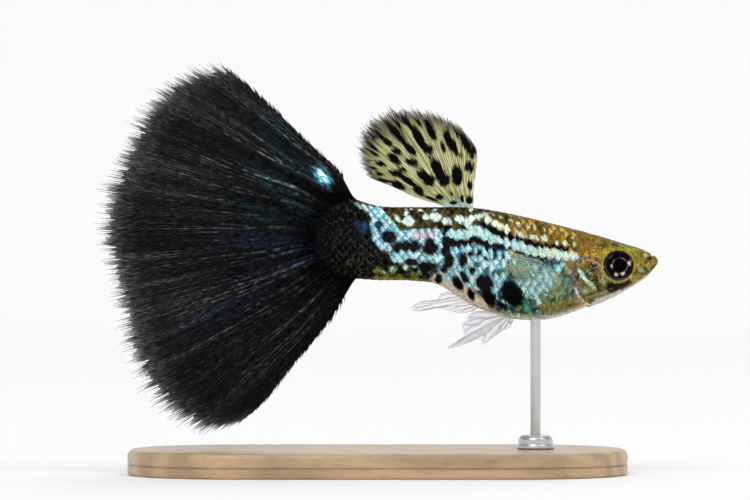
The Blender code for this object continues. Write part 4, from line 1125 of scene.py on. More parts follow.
def skin_piece(settings):
    """One skin over the whole body: the bare body, drawn in by SKIN_DEPTH, plus the head's relief."""
    body = Body()
    head_start = 18.0
    tail_part = np.arange(Body.LOW, head_start, SKIN_TAIL_SPACING)
    along = np.r_[tail_part, np.arange(head_start, Body.HIGH, SKIN_HEAD_SPACING), Body.HIGH]
    girth = np.arange(SKIN_GIRTH_POINTS) / SKIN_GIRTH_POINTS
    grid_along, grid_girth = np.meshgrid(along, girth, indexing="ij")
    bare = body.at(grid_along, grid_girth)
    x, z = seen_places(bare)
    under_scales = SKIN_DEPTH * step(x, 21.5, 19.5)
    height = head_relief(x, z) * step(x, 17.6, 18.4) - under_scales
    points = seat_eye(bare + body.outward(grid_along, grid_girth) * height[..., None])
    rows, columns = len(along), SKIN_GIRTH_POINTS
    points = points.reshape(-1, 3)
    ends = [points[:columns].mean(axis=0), points[-columns:].mean(axis=0)]
    points = np.vstack([points, ends])
    ring = np.arange(columns)
    following = (ring + 1) % columns
    last = (rows - 1) * columns
    tail_cap = np.column_stack([following, ring, np.full(columns, len(points) - 2)])
    snout_cap = np.column_stack([last + ring, last + following, np.full(columns, len(points) - 1)])
    sides = grid_faces(rows, columns, wrap=True)
    x, z = seen_places(points)
    luck = np.column_stack([noise(x, z, 0.5, seed) * 0.5 + 0.5 for seed in (11, 12, 13)])
    colour, pearly = body_paint(x, z, luck, np.zeros(len(x)), np.zeros(len(x)), x, z)
    colour = head_paint(colour, x, z, np.abs(points[:, 1]))
    share = np.repeat(np.arange(rows) / (rows - 1), columns)
    place = np.column_stack([np.r_[share, 0.0, 1.0], np.r_[np.tile(girth, rows), 0.5, 0.5]])
    return make_piece(
        "fish_skin", points, [sides, tail_cap, snout_cap], "scaled_skin",
        ("head", "lower_jaw", "trunk", "tail_stalk"),
        skin_finish("skin_paint", settings.skin_roughness),
        paint=colour, bake=0.002 + 0.996 * place, pearly=pearly * step(x, 20.5, 19.0),
    )


# The scales

def scale_coat(settings):
    """The scales, in staggered rows, each a small domed plate that lies tailwards over the next.

    A scale's place goes back from its root by u times its length, and to the side by v times its
    half width, which narrows as the root of 1 - s cubed towards the free end. Its height rises
    evenly from root to free edge, less v squared for the crown, and the outermost points go down
    to the skin as the plate's rim, which one many-sided face closes underneath.
    """
    body = Body()
    rows, spacing = settings.scale_rows, settings.scale_spacing
    front = 21.4
    columns = int((front - SCALES_END) / spacing)
    row, column = (part.ravel() for part in np.meshgrid(np.arange(rows), np.arange(columns), indexing="ij"))
    random = np.random.default_rng(21)
    root = front - spacing * (column + 0.5 * (row % 2)) + random.uniform(-0.04, 0.04, len(row))
    middle = body.at(root - 0.7 * spacing, row / rows)
    edge, _, side = near_line(middle[:, 0], middle[:, 2], even_points(GILL_COVER_EDGE, 24))
    kept = edge * side < -0.12
    row, column, root = row[kept], column[kept], root[kept]
    count = len(row)
    luck = random.uniform(0, 1, (count, 3))

    u = np.array(SCALE_RUN)[:, None]
    v = np.array([-share for share in SCALE_SIDE[:0:-1]] + list(SCALE_SIDE))[None, :]
    shape = (len(SCALE_RUN), 2 * len(SCALE_SIDE) - 1)
    width = np.sqrt(1 - 0.985 * (np.clip((u - 0.30) / 0.70, 0, 1)) ** 3)
    small = 1 - 0.25 * step(root, -2.0, -6.0)
    along = root[:, None, None] - u * SCALE_LENGTH * spacing * small[:, None, None]
    girth = (row[:, None, None] + v * width * SCALE_HALF_WIDTH) / rows
    along, girth = np.broadcast_arrays(along, girth)
    outermost = (u == 1) | (np.abs(v) == 1)
    lift = settings.scale_lift * (u + 0.15 - 0.35 * v**2 * u)
    lift = np.where(outermost, -0.01, lift)
    points = body.at(along, girth) + body.outward(along, girth) * (lift - SKIN_DEPTH + SCALE_DEPTH)[None, ..., None]

    points = points.reshape(-1, 3)
    each = shape[0] * shape[1]
    rim = np.broadcast_to(step(np.maximum(u, 0.35 + 0.65 * np.abs(v)), 0.60, 1.0), along.shape).ravel()
    line = np.maximum(step(u, 0.90, 0.97), step(np.abs(v), 0.78, 0.94) * step(u, 0.3, 0.5))
    line = np.broadcast_to(line, along.shape).ravel()
    true_x, true_z = seen_places(points)
    centre_x, centre_z = seen_places(body.at(root - 0.72 * SCALE_LENGTH * spacing, row / rows))
    snap = SCALE_SNAP * step(true_x - 2 * step(true_z, 20.2, 21.0), 17.8, 16.2)
    x = true_x + snap * (np.repeat(centre_x, each) - true_x)
    z = true_z + snap * (np.repeat(centre_z, each) - true_z)
    colour, pearly = body_paint(x, z, np.repeat(luck, each, axis=0), rim, line, true_x, true_z)
    colour = head_paint(colour, x, z, np.abs(points[:, 1]))

    cell = 1.0 / rows
    span = Body.HIGH - Body.LOW + spacing
    place_u = (root[:, None, None] - Body.LOW - u * 0.96 * spacing) / span
    place_v = (row[:, None, None] + 0.5 + v * 0.48) * cell
    place = np.stack(np.broadcast_arrays(place_u, place_v), axis=-1).reshape(-1, 2)
    index = np.arange(each).reshape(shape)
    ring = np.r_[index[0, :-1], index[:-1, -1], index[-1, :0:-1], index[:0:-1, 0]]
    faces = [many(ring[None], each, count), many(grid_faces(*shape)[:, ::-1], each, count)]
    return make_piece(
        "fish_scales", points, faces, "scaled_skin", (),
        skin_finish("scale_paint", settings.skin_roughness),
        paint=colour, bake=np.clip(place, 0.0005, 0.9995), pearly=pearly,
    )


# The eyes

def eye_pieces():
    """Both eyes: a shallow dome over the iris and a deeper, hidden back, both turned from an arc."""
    finish = eye_finish()
    rings, spokes = 72, 96
    lean = np.linspace(0, math.pi, rings)[:, None]
    turn = np.linspace(0, 2 * math.pi, spokes, endpoint=False)[None, :]
    radius = EYE_RADIUS * np.sin(lean) ** 0.9
    height = np.where(lean < math.pi / 2, EYE_BULGE, EYE_BACK) * np.cos(lean) - 0.05
    across, rise = radius * np.cos(turn), radius * np.sin(turn)
    for side, label in ((-1, "right"), (1, "left")):
        out = EYE_RIM_OUT - EYE_TILT * across + height
        points = np.stack(
            [EYE_PLACE[0] + across, side * out, EYE_PLACE[1] + rise], axis=-1
        )[1:-1].reshape(-1, 3)
        poles = [
            (EYE_PLACE[0], side * (EYE_RIM_OUT + EYE_BULGE - 0.05), EYE_PLACE[1]),
            (EYE_PLACE[0], side * (EYE_RIM_OUT - EYE_BACK - 0.05), EYE_PLACE[1]),
        ]
        points = np.vstack([points, poles])
        ring = np.arange(spokes)
        following = (ring + 1) % spokes
        last = (rings - 3) * spokes
        front_cap = np.column_stack([ring, following, np.full(spokes, len(points) - 2)])
        back_cap = np.column_stack([last + following, last + ring, np.full(spokes, len(points) - 1)])
        faces = [grid_faces(rings - 2, spokes, wrap=True)[:, ::-1], front_cap, back_cap]
        if side > 0:
            faces = [group[:, ::-1] for group in faces]
        colour = eye_paint(points[:, 0] - EYE_PLACE[0], points[:, 2] - EYE_PLACE[1])
        make_piece(f"eyeball_{label}", points, faces, "eye", (f"eye_{label}",), finish, paint=colour)


def eye_paint(x, z):
    """A black pupil, a broken copper ring round it, a dark iris with painted highlights of copper and pearl, and a thin
    blue-grey rim whose painted reflection is strongest towards the lower left.
    """
    away = np.hypot(x, z)
    from_pupil = np.hypot(x - PUPIL_PLACE[0], z - PUPIL_PLACE[1])
    angle = np.arctan2(z, x)
    grain = noise(x, z, 0.12, 14)
    colour = np.tile(pigment("iris"), (len(x), 1))
    colour = over(colour, "umber", 0.8 * step(grain, 0.2, 0.9))
    ring = np.exp(-(((from_pupil - PUPIL_RADIUS - 0.05) / 0.06) ** 2))
    colour = over(colour, "copper", 0.5 * ring * np.clip(0.20 + 0.9 * noise(angle, away * 0, 0.4, 15), 0, 1))
    # painted highlights: the lamps' reflections as copper and pearl blotches on the iris
    colour = touch(colour, x, z, EYE_PAINTED_HIGHLIGHTS, 0.5 * grain, 0.95)
    colour = over(colour, "pupil", step(from_pupil, PUPIL_RADIUS + 0.03, PUPIL_RADIUS - 0.02))
    # painted reflection: a thin blue-grey rim, strongest towards the lower left
    rim = np.exp(-(((away - EYE_RADIUS + 0.09) / 0.045) ** 2))
    return over(colour, "eye_rim", rim * np.clip(0.35 * step(z + 0.7 * x, 0.2, -1.2) + 0.12 * grain, 0, 1))


# The fins

class Fin:
    """A fin's sheet: out runs from 0 at the base to 1 at the tips, across from one edge to the other.

    A place blends the base with the tips and one edge with the other, and takes away the blend of
    the four corners (a Coons patch). bend gives each place's distance from the middle plane.
    """

    def __init__(self, base, tips, bend, edges=None, curved=True):
        self.base = even_points(base, 200, curved)
        self.tips = even_points(tips, 600, curved)
        first, last = edges or ((base[0], tips[0]), (base[-1], tips[-1]))
        self.first = even_points(first, 200, len(first) > 2)
        self.last = even_points(last, 200, len(last) > 2)
        self.bend = bend

    @staticmethod
    def read(curve, share):
        at = np.clip(share, 0, 1) * (len(curve) - 1)
        steps = np.arange(len(curve))
        return np.stack([np.interp(at, steps, curve[:, k]) for k in range(2)], axis=-1)

    def flat(self, out, across):
        """Places on the middle plane, in mm. Below 0, out carries on straight into the body."""
        sunk = np.minimum(out, 0)[..., None]
        o, a = np.maximum(out, 0)[..., None], across[..., None]
        place = (1 - o) * self.read(self.base, across) + o * self.read(self.tips, across)
        place = place + (1 - a) * self.read(self.first, out) + a * self.read(self.last, out)
        place = place - (1 - o) * ((1 - a) * self.base[0] + a * self.base[-1])
        place = place - o * ((1 - a) * self.tips[0] + a * self.tips[-1])
        past_tips = np.maximum(out - 1, 0)[..., None]
        heading = self.read(self.tips, across) - self.read(self.base, across)
        return place + (sunk + past_tips) * heading

    def at(self, out, across):
        """Points in mm. Past the side edges, across carries on straight, at the slope just inside."""
        out, across = np.broadcast_arrays(out, across)
        within = np.clip(across, 0, 1)
        place = self.flat(out, within)
        if (across != within).any():
            d = 0.004
            middle = np.clip(across, d, 1 - d)
            slope = (self.flat(out, middle + d) - self.flat(out, middle - d)) / (2 * d)
            place = place + (across - within)[..., None] * slope
        away = self.bend(np.clip(out, 0, 1.05), across, place)
        return np.stack([place[..., 0], away, place[..., 1]], axis=-1)

    def spread(self, out, across):
        """How many mm the sheet goes sideways for each unit of across."""
        d = 0.004
        middle = np.clip(across, d, 1 - d)
        return np.linalg.norm(self.at(out, middle + d) - self.at(out, middle - d), axis=-1) / (2 * d)


def membrane(name, fin, rows, columns, reach, sunk, paint, slot, replaced, finish, thickness, edge=0.002):
    """A fin's thin sheet on an even grid, out to a ragged edge."""
    across = np.linspace(edge, 1 - edge, columns)[None, :]
    out = np.linspace(0, 1, rows)[:, None]
    out = -sunk + (reach(across) + sunk) * out
    out, across = np.broadcast_arrays(out, across)
    points = fin.at(out, across).reshape(-1, 3)
    colour, cover = paint(points[:, 0], points[:, 2], out.ravel(), across.ravel(), np.full(out.size, 0.5))
    place = np.column_stack([across.ravel(), np.linspace(0.002, 0.998, rows).repeat(columns)])
    piece = make_piece(
        name, points, grid_faces(rows, columns), slot, replaced, finish,
        paint=colour, bake=place, cover=cover,
    )
    thicken(piece, thickness)
    return piece


def bars(fin, out, across, half, depth):
    """Closed bars along lines on a fin's sheet, one for each row: a flat diamond at every point.

    half is the bars' half width within the sheet, and depth their half thickness out of it.
    """
    def unit(vectors):
        return vectors / np.maximum(np.linalg.norm(vectors, axis=-1, keepdims=True), 1e-9)

    centre = fin.at(out, across)
    beside = unit(fin.at(out, across + 0.002) - fin.at(out, across - 0.002))
    away = unit(np.cross(beside, fin.at(out + 0.004, across) - fin.at(out - 0.004, across)))
    beside, away = beside * half[..., None], away * depth[..., None]
    points = np.stack([centre + beside, centre + away, centre - beside, centre - away], axis=2)
    count, steps = out.shape
    each = 4 * steps
    ends = np.array([[0, 1, 2, 3], [each - 1, each - 2, each - 3, each - 4]])
    faces = np.vstack([grid_faces(steps, 4, wrap=True)[:, ::-1], ends])
    return points.reshape(-1, 3), many(faces, each, count)


def together(parts):
    """Joins sets of points and faces, with the facts on each point, into one."""
    starts = np.cumsum([0] + [len(part[0]) for part in parts])
    faces = np.vstack([part[1] + start for part, start in zip(parts, starts)])
    return np.vstack([part[0] for part in parts]), faces, np.hstack([part[2] for part in parts])


def facts_for(out, across, luck):
    """What the paint needs to know at each corner of the bars."""
    shape = (*out.shape, 4)
    return np.stack([np.broadcast_to(part[..., None], shape).ravel() for part in (out, across, luck)])


def ray_tubes(fin, rays, forks, ends, sunk, fill, seed, steps=(14, 12, 14, 26), root_depth=0.0, gather=0.3,
              thin_from=0.86):
    """The rays as tapered bars that fork in two at each of the given shares of the way out.

    A bar's place across the fin is its ray's, plus half a share to one side or the other for each
    fork it has passed, which opens with a smooth step. Near the tips, bars gather in uneven clumps.
    Returns points, faces, and each point's out, across and luck.
    """
    random = np.random.default_rng(seed)
    levels = len(forks) + 1
    starts = [-sunk, *forks]
    level_luck = [random.uniform(0, 1, rays * 2**level) for level in range(levels)]
    parts = []
    for level in range(levels):
        count = rays * 2**level
        index = np.arange(count)
        at = (index + 0.5) / count
        here = np.linspace(0, 1, steps[level])[None, :]
        last = level == levels - 1
        stop = ends(at, index) if last else np.full(count, forks[level])
        out = starts[level] + (stop[:, None] - starts[level]) * here
        parent = (index // 2 + 0.5) * 2 / count if level else at
        opening = step(out, starts[level], starts[level] + 0.16) if level else np.ones_like(out)
        across = parent[:, None] + (at - parent)[:, None] * opening
        if last:
            pull = gather * 2 * noise(at * rays * 3, at * 0, 1.0, seed + 9) / count
            across = across + pull[:, None] * step(out, 0.84, 1.0)
        wander = noise(at[:, None] * 300, out, 0.22, seed + level) * 0.10 / count
        across = np.clip(across + wander * step(out, 0.02, 0.2), 0.001, 0.999)
        half = 0.5 * fill * fin.spread(out, across) / count
        half = half * (1 + 0.35 * (1 - opening))
        if last:
            half = half * (1 - 0.85 * step(here, thin_from, 1.0))
        depth = 0.35 * half + 0.045 + root_depth * step(out, 0.14, 0.0)
        older = [level_luck[old][index // 2 ** (level - old)] for old in range(level + 1)]
        luck = 0.32 * older[-1] + 0.42 * older[max(level - 1, 0)] + 0.26 * older[0]
        points, faces = bars(fin, out, across, half, depth)
        parts.append((points, faces, facts_for(out, across, np.broadcast_to(luck[:, None], out.shape))))
    return together(parts)


def edge_teeth(fin, count, seed):
    """The tips of the shortest rays, which run out one after another over both side edges.

    Each tooth is a tapered bar from TOOTH_ROOT inside the edge to a little outside it.
    """
    random = np.random.default_rng(seed)
    parts = []
    for edge, side in ((0.0, -1), (1.0, 1)):
        start = np.linspace(0.05, 0.90, count) + random.uniform(-0.006, 0.006, count)
        here = np.linspace(0, 1, 7)[None, :]
        out = start[:, None] + random.uniform(0.06, 0.11, count)[:, None] * here
        spread = fin.spread(out, np.full_like(out, edge))
        reach = random.uniform(*TOOTH_REACH, count)[:, None]
        across = edge + side * (here * (reach + TOOTH_ROOT) - TOOTH_ROOT) / spread
        half = 0.075 * (1 - 0.85 * here**2) * np.ones_like(out)
        points, faces = bars(fin, out, across, half, 0.5 * half + 0.02)
        luck = np.broadcast_to(random.uniform(0.1, 0.7, count)[:, None], out.shape)
        parts.append((points, faces, facts_for(out, across, luck)))
    return together(parts)


def rays_piece(name, fin, tubes, paint, slot, finish):
    """A fin's rays as one piece, coloured by the fin's paint."""
    points, faces, (out, across, luck) = tubes
    colour, cover = paint(points[:, 0], points[:, 2], out, across, luck)
    strip = np.tile(np.array([0.0, 0.33, 0.66, 0.99]), len(points) // 4) / 400
    place = np.column_stack([np.clip(across + strip, 0, 1), np.clip(out * 0.93 + 0.04, 0, 1)])
    return make_piece(name, points, faces, slot, (), finish, paint=colour, bake=place, cover=cover)


def tail_fin():
    """The tail fin's sheet, set round the flap of the tail stalk."""
    x, top, bottom = BODY_STATIONS[0][:3]
    middle, radius = (top + bottom) / 2, STALK_END_RADIUS + TAIL_FIN_ROOT_GAP
    start = math.atan2(TAIL_FIN_LOWER_EDGE[0][1] - middle, TAIL_FIN_LOWER_EDGE[0][0] - x)
    end = math.atan2(TAIL_FIN_UPPER_EDGE[0][1] - middle, TAIL_FIN_UPPER_EDGE[0][0] - x)
    angles = np.linspace(start, end - 2 * math.pi, 25)
    base = np.column_stack([x + radius * np.cos(angles), middle + radius * np.sin(angles)])
    edges = ([tuple(base[0]), *TAIL_FIN_LOWER_EDGE[1:]], [tuple(base[-1]), *TAIL_FIN_UPPER_EDGE[1:]])
    return Fin(base, TAIL_FIN_TIPS, rippled(*TAIL_FIN_BEND), edges)


def rippled(height, waves, sway):
    """Ripples that grow outward and a slow bend: out squared times a sine across, plus the sway."""
    def bend(out, across, place):
        return height * out**2 * np.sin(2 * math.pi * waves * across) + sway * out**2
    return bend


def tail_fin_paint(x, z, out, across, luck):
    """Black, with strands whose grey is partly their own charcoal and partly a painted highlight, dim blue and teal
    patches, one of cyan, and grey frayed tips.
    """
    strand = noise(across * 900, out * 2, 1.0, 31) * 0.5 + 0.5
    broad = noise(across * 45, out * 3, 1.0, 33) * 0.5 + 0.5
    sheet = luck == 0.5
    bright = np.where(sheet, 0.35 * strand, step(luck, 0.2, 0.85))
    colour = np.tile(pigment("fin_black"), (len(x), 1))
    # The rays' grey is partly their own charcoal and partly painted highlight, the light the rays catch; it grows
    # outwards and is weaker in the lower part of the fin
    grey = (0.05 + 0.60 * bright**2) * (0.20 + 0.80 * broad**2) * (0.25 + 0.90 * out) * step(out, -0.02, 0.22)
    grey = grey * (0.6 + 0.4 * step(across, 0.10, 0.45))
    colour = over(colour, "fin_grey", np.clip(grey, 0, 0.85))
    streaks = noise(across * 230, out * 5, 1.0, 34) * 0.5 + 0.5
    for name, *spot, soft in TAIL_FIN_TOUCHES:
        away = ellipse(x, z, *spot) + 0.9 * (streaks - 0.5)
        share = 1.5 * streaks if name in ("fin_cyan", "ice") else 0.5 * streaks * broad * (0.3 + bright)
        colour = over(colour, name, np.clip(share, 0, 1) * step(away, 1 + soft / 2, 1 - soft / 2))
    tips = step(out, 0.82, 0.99) * np.where(sheet, 0.10, 0.25 + 0.60 * luck)
    colour = over(colour, "fin_tip", tips)
    cover = np.where(sheet, 1 - 0.80 * step(out, 0.88, 1.0), 1.0)
    return colour, cover


def tail_fin_pieces(settings):
    """The tail fin: a dark sheet and rays that fork three times into a fringe of fine tips."""
    fin = tail_fin()
    finish = fin_finish("tail_fin_paint", 0.60, 0.02, glints=True)
    loose = np.random.default_rng(41).uniform(0, 1, 8 * settings.tail_rays)

    def ends(at, index):
        bundle = (at * 17 + 0.7 * noise(at * 11, at * 0, 1.0, 42)) % 1
        return 1.032 - 0.028 * bundle**2 - 0.058 * loose[index]

    def reach(across):
        return 0.960 + 0.050 * noise(across * 210, across, 1.0, 43)

    membrane(
        "tail_fin_sheet", fin, 60, 560, reach, 0.05, tail_fin_paint, "tail_fin_membrane",
        ("tail_fin",), finish, 0.10,
    )
    tubes = ray_tubes(
        fin, settings.tail_rays, (0.24, 0.45, 0.64), ends, 0.05, 0.90, 44, root_depth=0.22, gather=0.35,
        thin_from=0.78
    )
    teeth = edge_teeth(fin, 90, 45)
    rays_piece("tail_fin_rays", fin, together([tubes, teeth]), tail_fin_paint, "tail_fin_membrane", finish)


def dorsal_fin_paint(x, z, out, across, luck):
    """Pale rays over olive skin, black spots drawn out along the rays, cyan at the root, dark tips."""
    sheet = luck == 0.5
    strand = noise(across * 420, out * 2, 1.0, 51) * 0.5 + 0.5
    bright = np.where(sheet, strand, luck)
    colour = np.tile(pigment("dorsal_ray"), (len(x), 1))
    colour = over(colour, "dorsal_olive", np.where(sheet, 0.95, 0.85 * step(bright, 0.58, 0.25)))
    colour = over(colour, "back_edge", 0.5 * step(noise(across * 230, out * 1.5, 1.0, 58), 0.1, 0.7))
    colour = over(colour, "leaf", 0.45 * step(out, 0.35, 0.0) * (0.4 + 0.6 * strand))
    root = step(z + 0.6 * (bright - 0.5), 26.40, 26.10) * step(x, 5.8, 6.8)
    colour = over(colour, "ice", root * (0.35 + 0.65 * strand))
    colour = over(colour, "deep_teal", root * 0.7 * step(strand, 0.45, 0.15))
    streaks = noise(across * 60, out * 3.0, 1.0, 53) + 0.9 * (bright - 0.5)
    colour = over(colour, "ink", 0.9 * step(streaks, 0.05, 0.30) * step(out, 0.62, 0.78))
    tips = step(out + 0.24 * (bright - 0.5), 0.74, 0.90) * np.where(sheet, 0.45, 0.95)
    colour = over(colour, "dorsal_tip", tips)
    away = np.hypot(x - DORSAL_FIN_HEART[0], z - DORSAL_FIN_HEART[1])
    slip = DORSAL_SPOT_SLIP * (bright - 0.5) * step(away, 1.0, 5.0) / away
    spot_x, spot_z = x + slip * (x - DORSAL_FIN_HEART[0]), z + slip * (z - DORSAL_FIN_HEART[1])
    spots = nearest_ellipse(spot_x, spot_z, DORSAL_FIN_SPOTS) + 0.12 * noise(x, z, 0.15, 52)
    colour = over(colour, "ink", step(spots + 0.12 * (bright - 0.5), 1.20, 1.00))
    sheet_cover = 0.97 - 0.80 * step(out + 0.10 * (strand - 0.5), 0.82, 0.97)
    return colour, np.where(sheet, sheet_cover, 1 - 0.35 * step(out, 0.88, 1.0))


def dorsal_fin_pieces(settings):
    """The dorsal fin: a pale spotted sheet and rays that fork three times."""
    fin = Fin(
        DORSAL_FIN_BASE, DORSAL_FIN_TIPS, rippled(*DORSAL_FIN_BEND),
        (DORSAL_FIN_FRONT_EDGE, DORSAL_FIN_REAR_EDGE),
    )
    finish = fin_finish("dorsal_fin_paint", 0.55, 0.03)
    loose = np.random.default_rng(55).uniform(0, 1, 8 * settings.dorsal_rays)

    def ends(at, index):
        return 1.015 - 0.055 * loose[index]

    def reach(across):
        return 0.955 + 0.04 * noise(across * 110, across, 1.0, 56)

    membrane(
        "dorsal_fin_sheet", fin, 90, 360, reach, 0.10, dorsal_fin_paint, "dorsal_fin_membrane",
        ("dorsal_fin",), finish, 0.07,
    )
    tubes = ray_tubes(fin, settings.dorsal_rays, (0.08, 0.26, 0.55), ends, 0.08, 0.74, 57, gather=0.8, thin_from=0.80)
    rays_piece("dorsal_fin_rays", fin, tubes, dorsal_fin_paint, "dorsal_fin_membrane", finish)


def clear_fin_paint(x, z, out, across, luck):
    """Clear, bluish white, with tan ray bases, and a slightly denser edge."""
    grain = noise(across * 90, out * 4, 1.0, 61) * 0.5 + 0.5
    colour = np.tile(pigment("clear_membrane"), (len(x), 1))
    colour = over(colour, "clear_tip", 0.5 * grain)
    sheet = luck == 0.5
    rays = np.where(sheet, 0.0, 1.0)
    colour = over(colour, "clear_ray", rays * (0.35 + 0.65 * step(out, 0.6, 0.1)) * (0.4 + 0.6 * luck))
    cover = np.where(sheet, 0.22 + 0.16 * grain + 0.25 * step(out, 0.93, 1.0), 0.55 + 0.25 * luck)
    return colour, cover


def pectoral_fin_paint(x, z, out, across, luck):
    """Almost clear, with fine silvery rays that break up into dashes."""
    dashes = noise(across * 60, out * 24, 1.0, 63)
    sheet = luck == 0.5
    colour = np.tile(pigment("ice"), (len(x), 1))
    cover = np.clip(0.25 + 0.5 * luck + 0.9 * dashes, 0, 1) * step(out, 1.02, 0.8) * step(out, 0.0, 0.25)
    cover = cover * (0.30 + 0.45 * step(across, 0.75, 0.40))
    return colour, np.where(sheet, 0.06, cover)


def small_fin_pieces():
    """The pectoral, pelvic and anal fins: clear fans with fine forked rays."""
    finish = fin_finish("clear_fin_paint", 0.35, 0.45, 0.006)
    shapes = (
        ("pectoral_fin", PECTORAL_FIN, PECTORAL_FIN_EDGES, pectoral_fin_paint, 13, (0.35, 0.6), True),
        ("pelvic_fin", PELVIC_FIN, None, clear_fin_paint, 7, (0.45, 0.75), True),
        ("anal_fin", ANAL_FIN, None, clear_fin_paint, 9, (0.5, 0.8), False),
    )
    for name, (base, tips, root_out, spread), edges, paint, rays, forks, paired in shapes:
        for side, label in ((-1, "_right"), (1, "_left")) if paired else ((1, ""),):
            fin = Fin(base, tips, leaning(base, tips, side * root_out, spread), edges, curved=False)
            piece = name + label
            membrane(
                piece + "_sheet", fin, 40, 80, lambda across: 1.0 + 0 * across, 0.04, paint,
                "clear_fin_membrane", (piece,), finish, 0.04,
            )
            tubes = ray_tubes(
                fin, rays, forks, lambda at, index: np.full(len(at), 0.985), 0.04, 0.30, 62, (12, 10, 12)
            )
            rays_piece(piece + "_rays", fin, tubes, paint, "clear_fin_membrane", finish)


def leaning(base, tips, root_out, spread):
    """A flat lean away from the middle plane: root_out plus the reach times the spread's tangent."""
    root = np.mean(base, axis=0)
    heading = np.mean(tips, axis=0) - root
    heading /= np.linalg.norm(heading)
    side = -1 if root_out < 0 else 1
    slope = side * math.tan(math.radians(spread))

    def bend(out, across, place):
        ripple = 0.05 * out * np.sin(across * 20)
        return root_out + slope * ((place - root) @ heading) + ripple
    return bend


# The stand

def turned(name, profile, place, slot, replaced, finish, spokes=96):
    """A profile of radius and height turned round an upright axis, closed with a disc at each end.

    A profile that comes back to its start makes a ring instead.
    """
    profile = np.array(profile)
    ring = np.allclose(profile[0], profile[-1])
    if ring:
        profile = profile[:-1]
    turn = np.linspace(0, 2 * math.pi, spokes, endpoint=False)
    parts = [place + profile[:, :1] * np.cos(turn), profile[:, :1] * np.sin(turn), np.repeat(profile[:, 1:], spokes, 1)]
    faces = [grid_faces(len(profile), spokes, wrap=True)]
    first, last = np.arange(spokes), np.arange(spokes) + (len(profile) - 1) * spokes
    if ring:
        faces.append(np.column_stack([last, np.roll(last, -1), np.roll(first, -1), first]))
    else:
        faces += [first[None, ::-1], last[None]]
    return make_piece(name, np.stack(parts, axis=-1).reshape(-1, 3), faces, slot, replaced, finish)


def arc(centre, radius, start, end, count):
    """Points on an arc, from one angle to another in degrees."""
    turn = np.radians(np.linspace(start, end, count))
    return [(centre[0] + radius * math.cos(t), centre[1] + radius * math.sin(t)) for t in turn]


def base_outline(inset, count):
    """The base seen from above, drawn in by the inset: four quarter circles and straight sides."""
    radius = BASE_CORNER_RADIUS - inset
    parts = []
    for quarter, (sx, sy) in enumerate(((1, 1), (-1, 1), (-1, -1), (1, -1))):
        turn = (quarter + np.linspace(0, 1, count)) * math.pi / 2
        x = sx * (BASE_LENGTH / 2 - BASE_CORNER_RADIUS) + radius * np.cos(turn)
        y = sy * (BASE_WIDTH / 2 - BASE_CORNER_RADIUS) + radius * np.sin(turn)
        parts.append(np.column_stack([x, y]))
    return np.vstack(parts)


def base_piece(finish):
    """The wooden base: a profile with a fillet, a quirk and a rounded foot, carried round its outline."""
    round_top = arc((0.55, BASE_HEIGHT - 0.55), 0.55, 180, 90, 9)
    foot = arc((0.35, 0.35), 0.35, 270, 180, 6)
    bead = [(0.0, 0.9), (0.14, 0.98), (0.14, 1.06), (0.0, 1.14)]
    profile = [(8.0, 0.0), (4.0, 0.0), *foot, *bead, *round_top, (4.0, BASE_HEIGHT), (8.0, BASE_HEIGHT)]
    rings = [
        np.column_stack([base_outline(inset, 24), np.full(96, height)]) for inset, height in profile
    ]
    points = np.vstack(rings)
    columns = 96
    ring = np.arange(columns)
    bottom_cap = ring[None, ::-1]
    top_cap = (len(rings) - 1) * columns + ring[None]
    sides = grid_faces(len(rings), columns, wrap=True)
    piece = make_piece(
        "stand_base_wood", points, [sides, bottom_cap, top_cap], "stand_wood", ("stand_base",), finish
    )
    piece.data.set_sharp_from_angle(angle=math.radians(38))


def stand_pieces(settings):
    """The wooden base, the steel rod and its collar."""
    base_piece(wood_finish(tuple(settings.wood)))
    steel = steel_finish(tuple(settings.steel))
    low, high = BASE_HEIGHT - ROD_SINK, ROD_TOP
    rod = [*arc((ROD_RADIUS - 0.1, low + 0.1), 0.1, -90, 0, 5), (ROD_RADIUS, high - 0.3)]
    rod += [*arc((ROD_RADIUS - 0.2, high - 0.2), 0.2, 0, 90, 6)]
    turned("stand_rod_steel", rod, ROD_PLACE, "stand_steel", ("stand_rod",), steel)
    foot, top = COLLAR_FOOT, COLLAR_FOOT + COLLAR_HEIGHT
    collar = [
        (COLLAR_BORE, foot), *arc((COLLAR_RADIUS - 0.12, foot + 0.12), 0.12, -90, 0, 5),
        (COLLAR_RADIUS, foot + 0.35), (COLLAR_RADIUS - 0.08, foot + 0.42), (COLLAR_RADIUS - 0.12, foot + 0.5),
        *arc((COLLAR_RADIUS - 0.75, top - 0.62), 0.62, 0, 80, 9), (COLLAR_BORE + 0.1, top),
        (COLLAR_BORE, top - 0.08), (COLLAR_BORE, foot),
    ]
    turned("stand_collar_steel", collar, ROD_PLACE, "stand_steel", ("stand_collar",), steel)


# The stage

def lamp(name, place, target, size, power):
    """A soft square lamp that faces the target and doesn't show itself."""
    data = bpy.data.lights.new(name, "AREA")
    data.shape = "SQUARE"
    data.size = size
    data.energy = power
    thing = bpy.data.objects.new(name, data)
    bpy.context.scene.collection.objects.link(thing)
    thing.location = place
    heading = np.array(target) - np.array(place)
    flat = math.hypot(heading[0], heading[1])
    thing.rotation_euler = (math.atan2(flat, -heading[2]), 0, math.atan2(heading[1], heading[0]) - math.pi / 2)
    thing.visible_camera = False


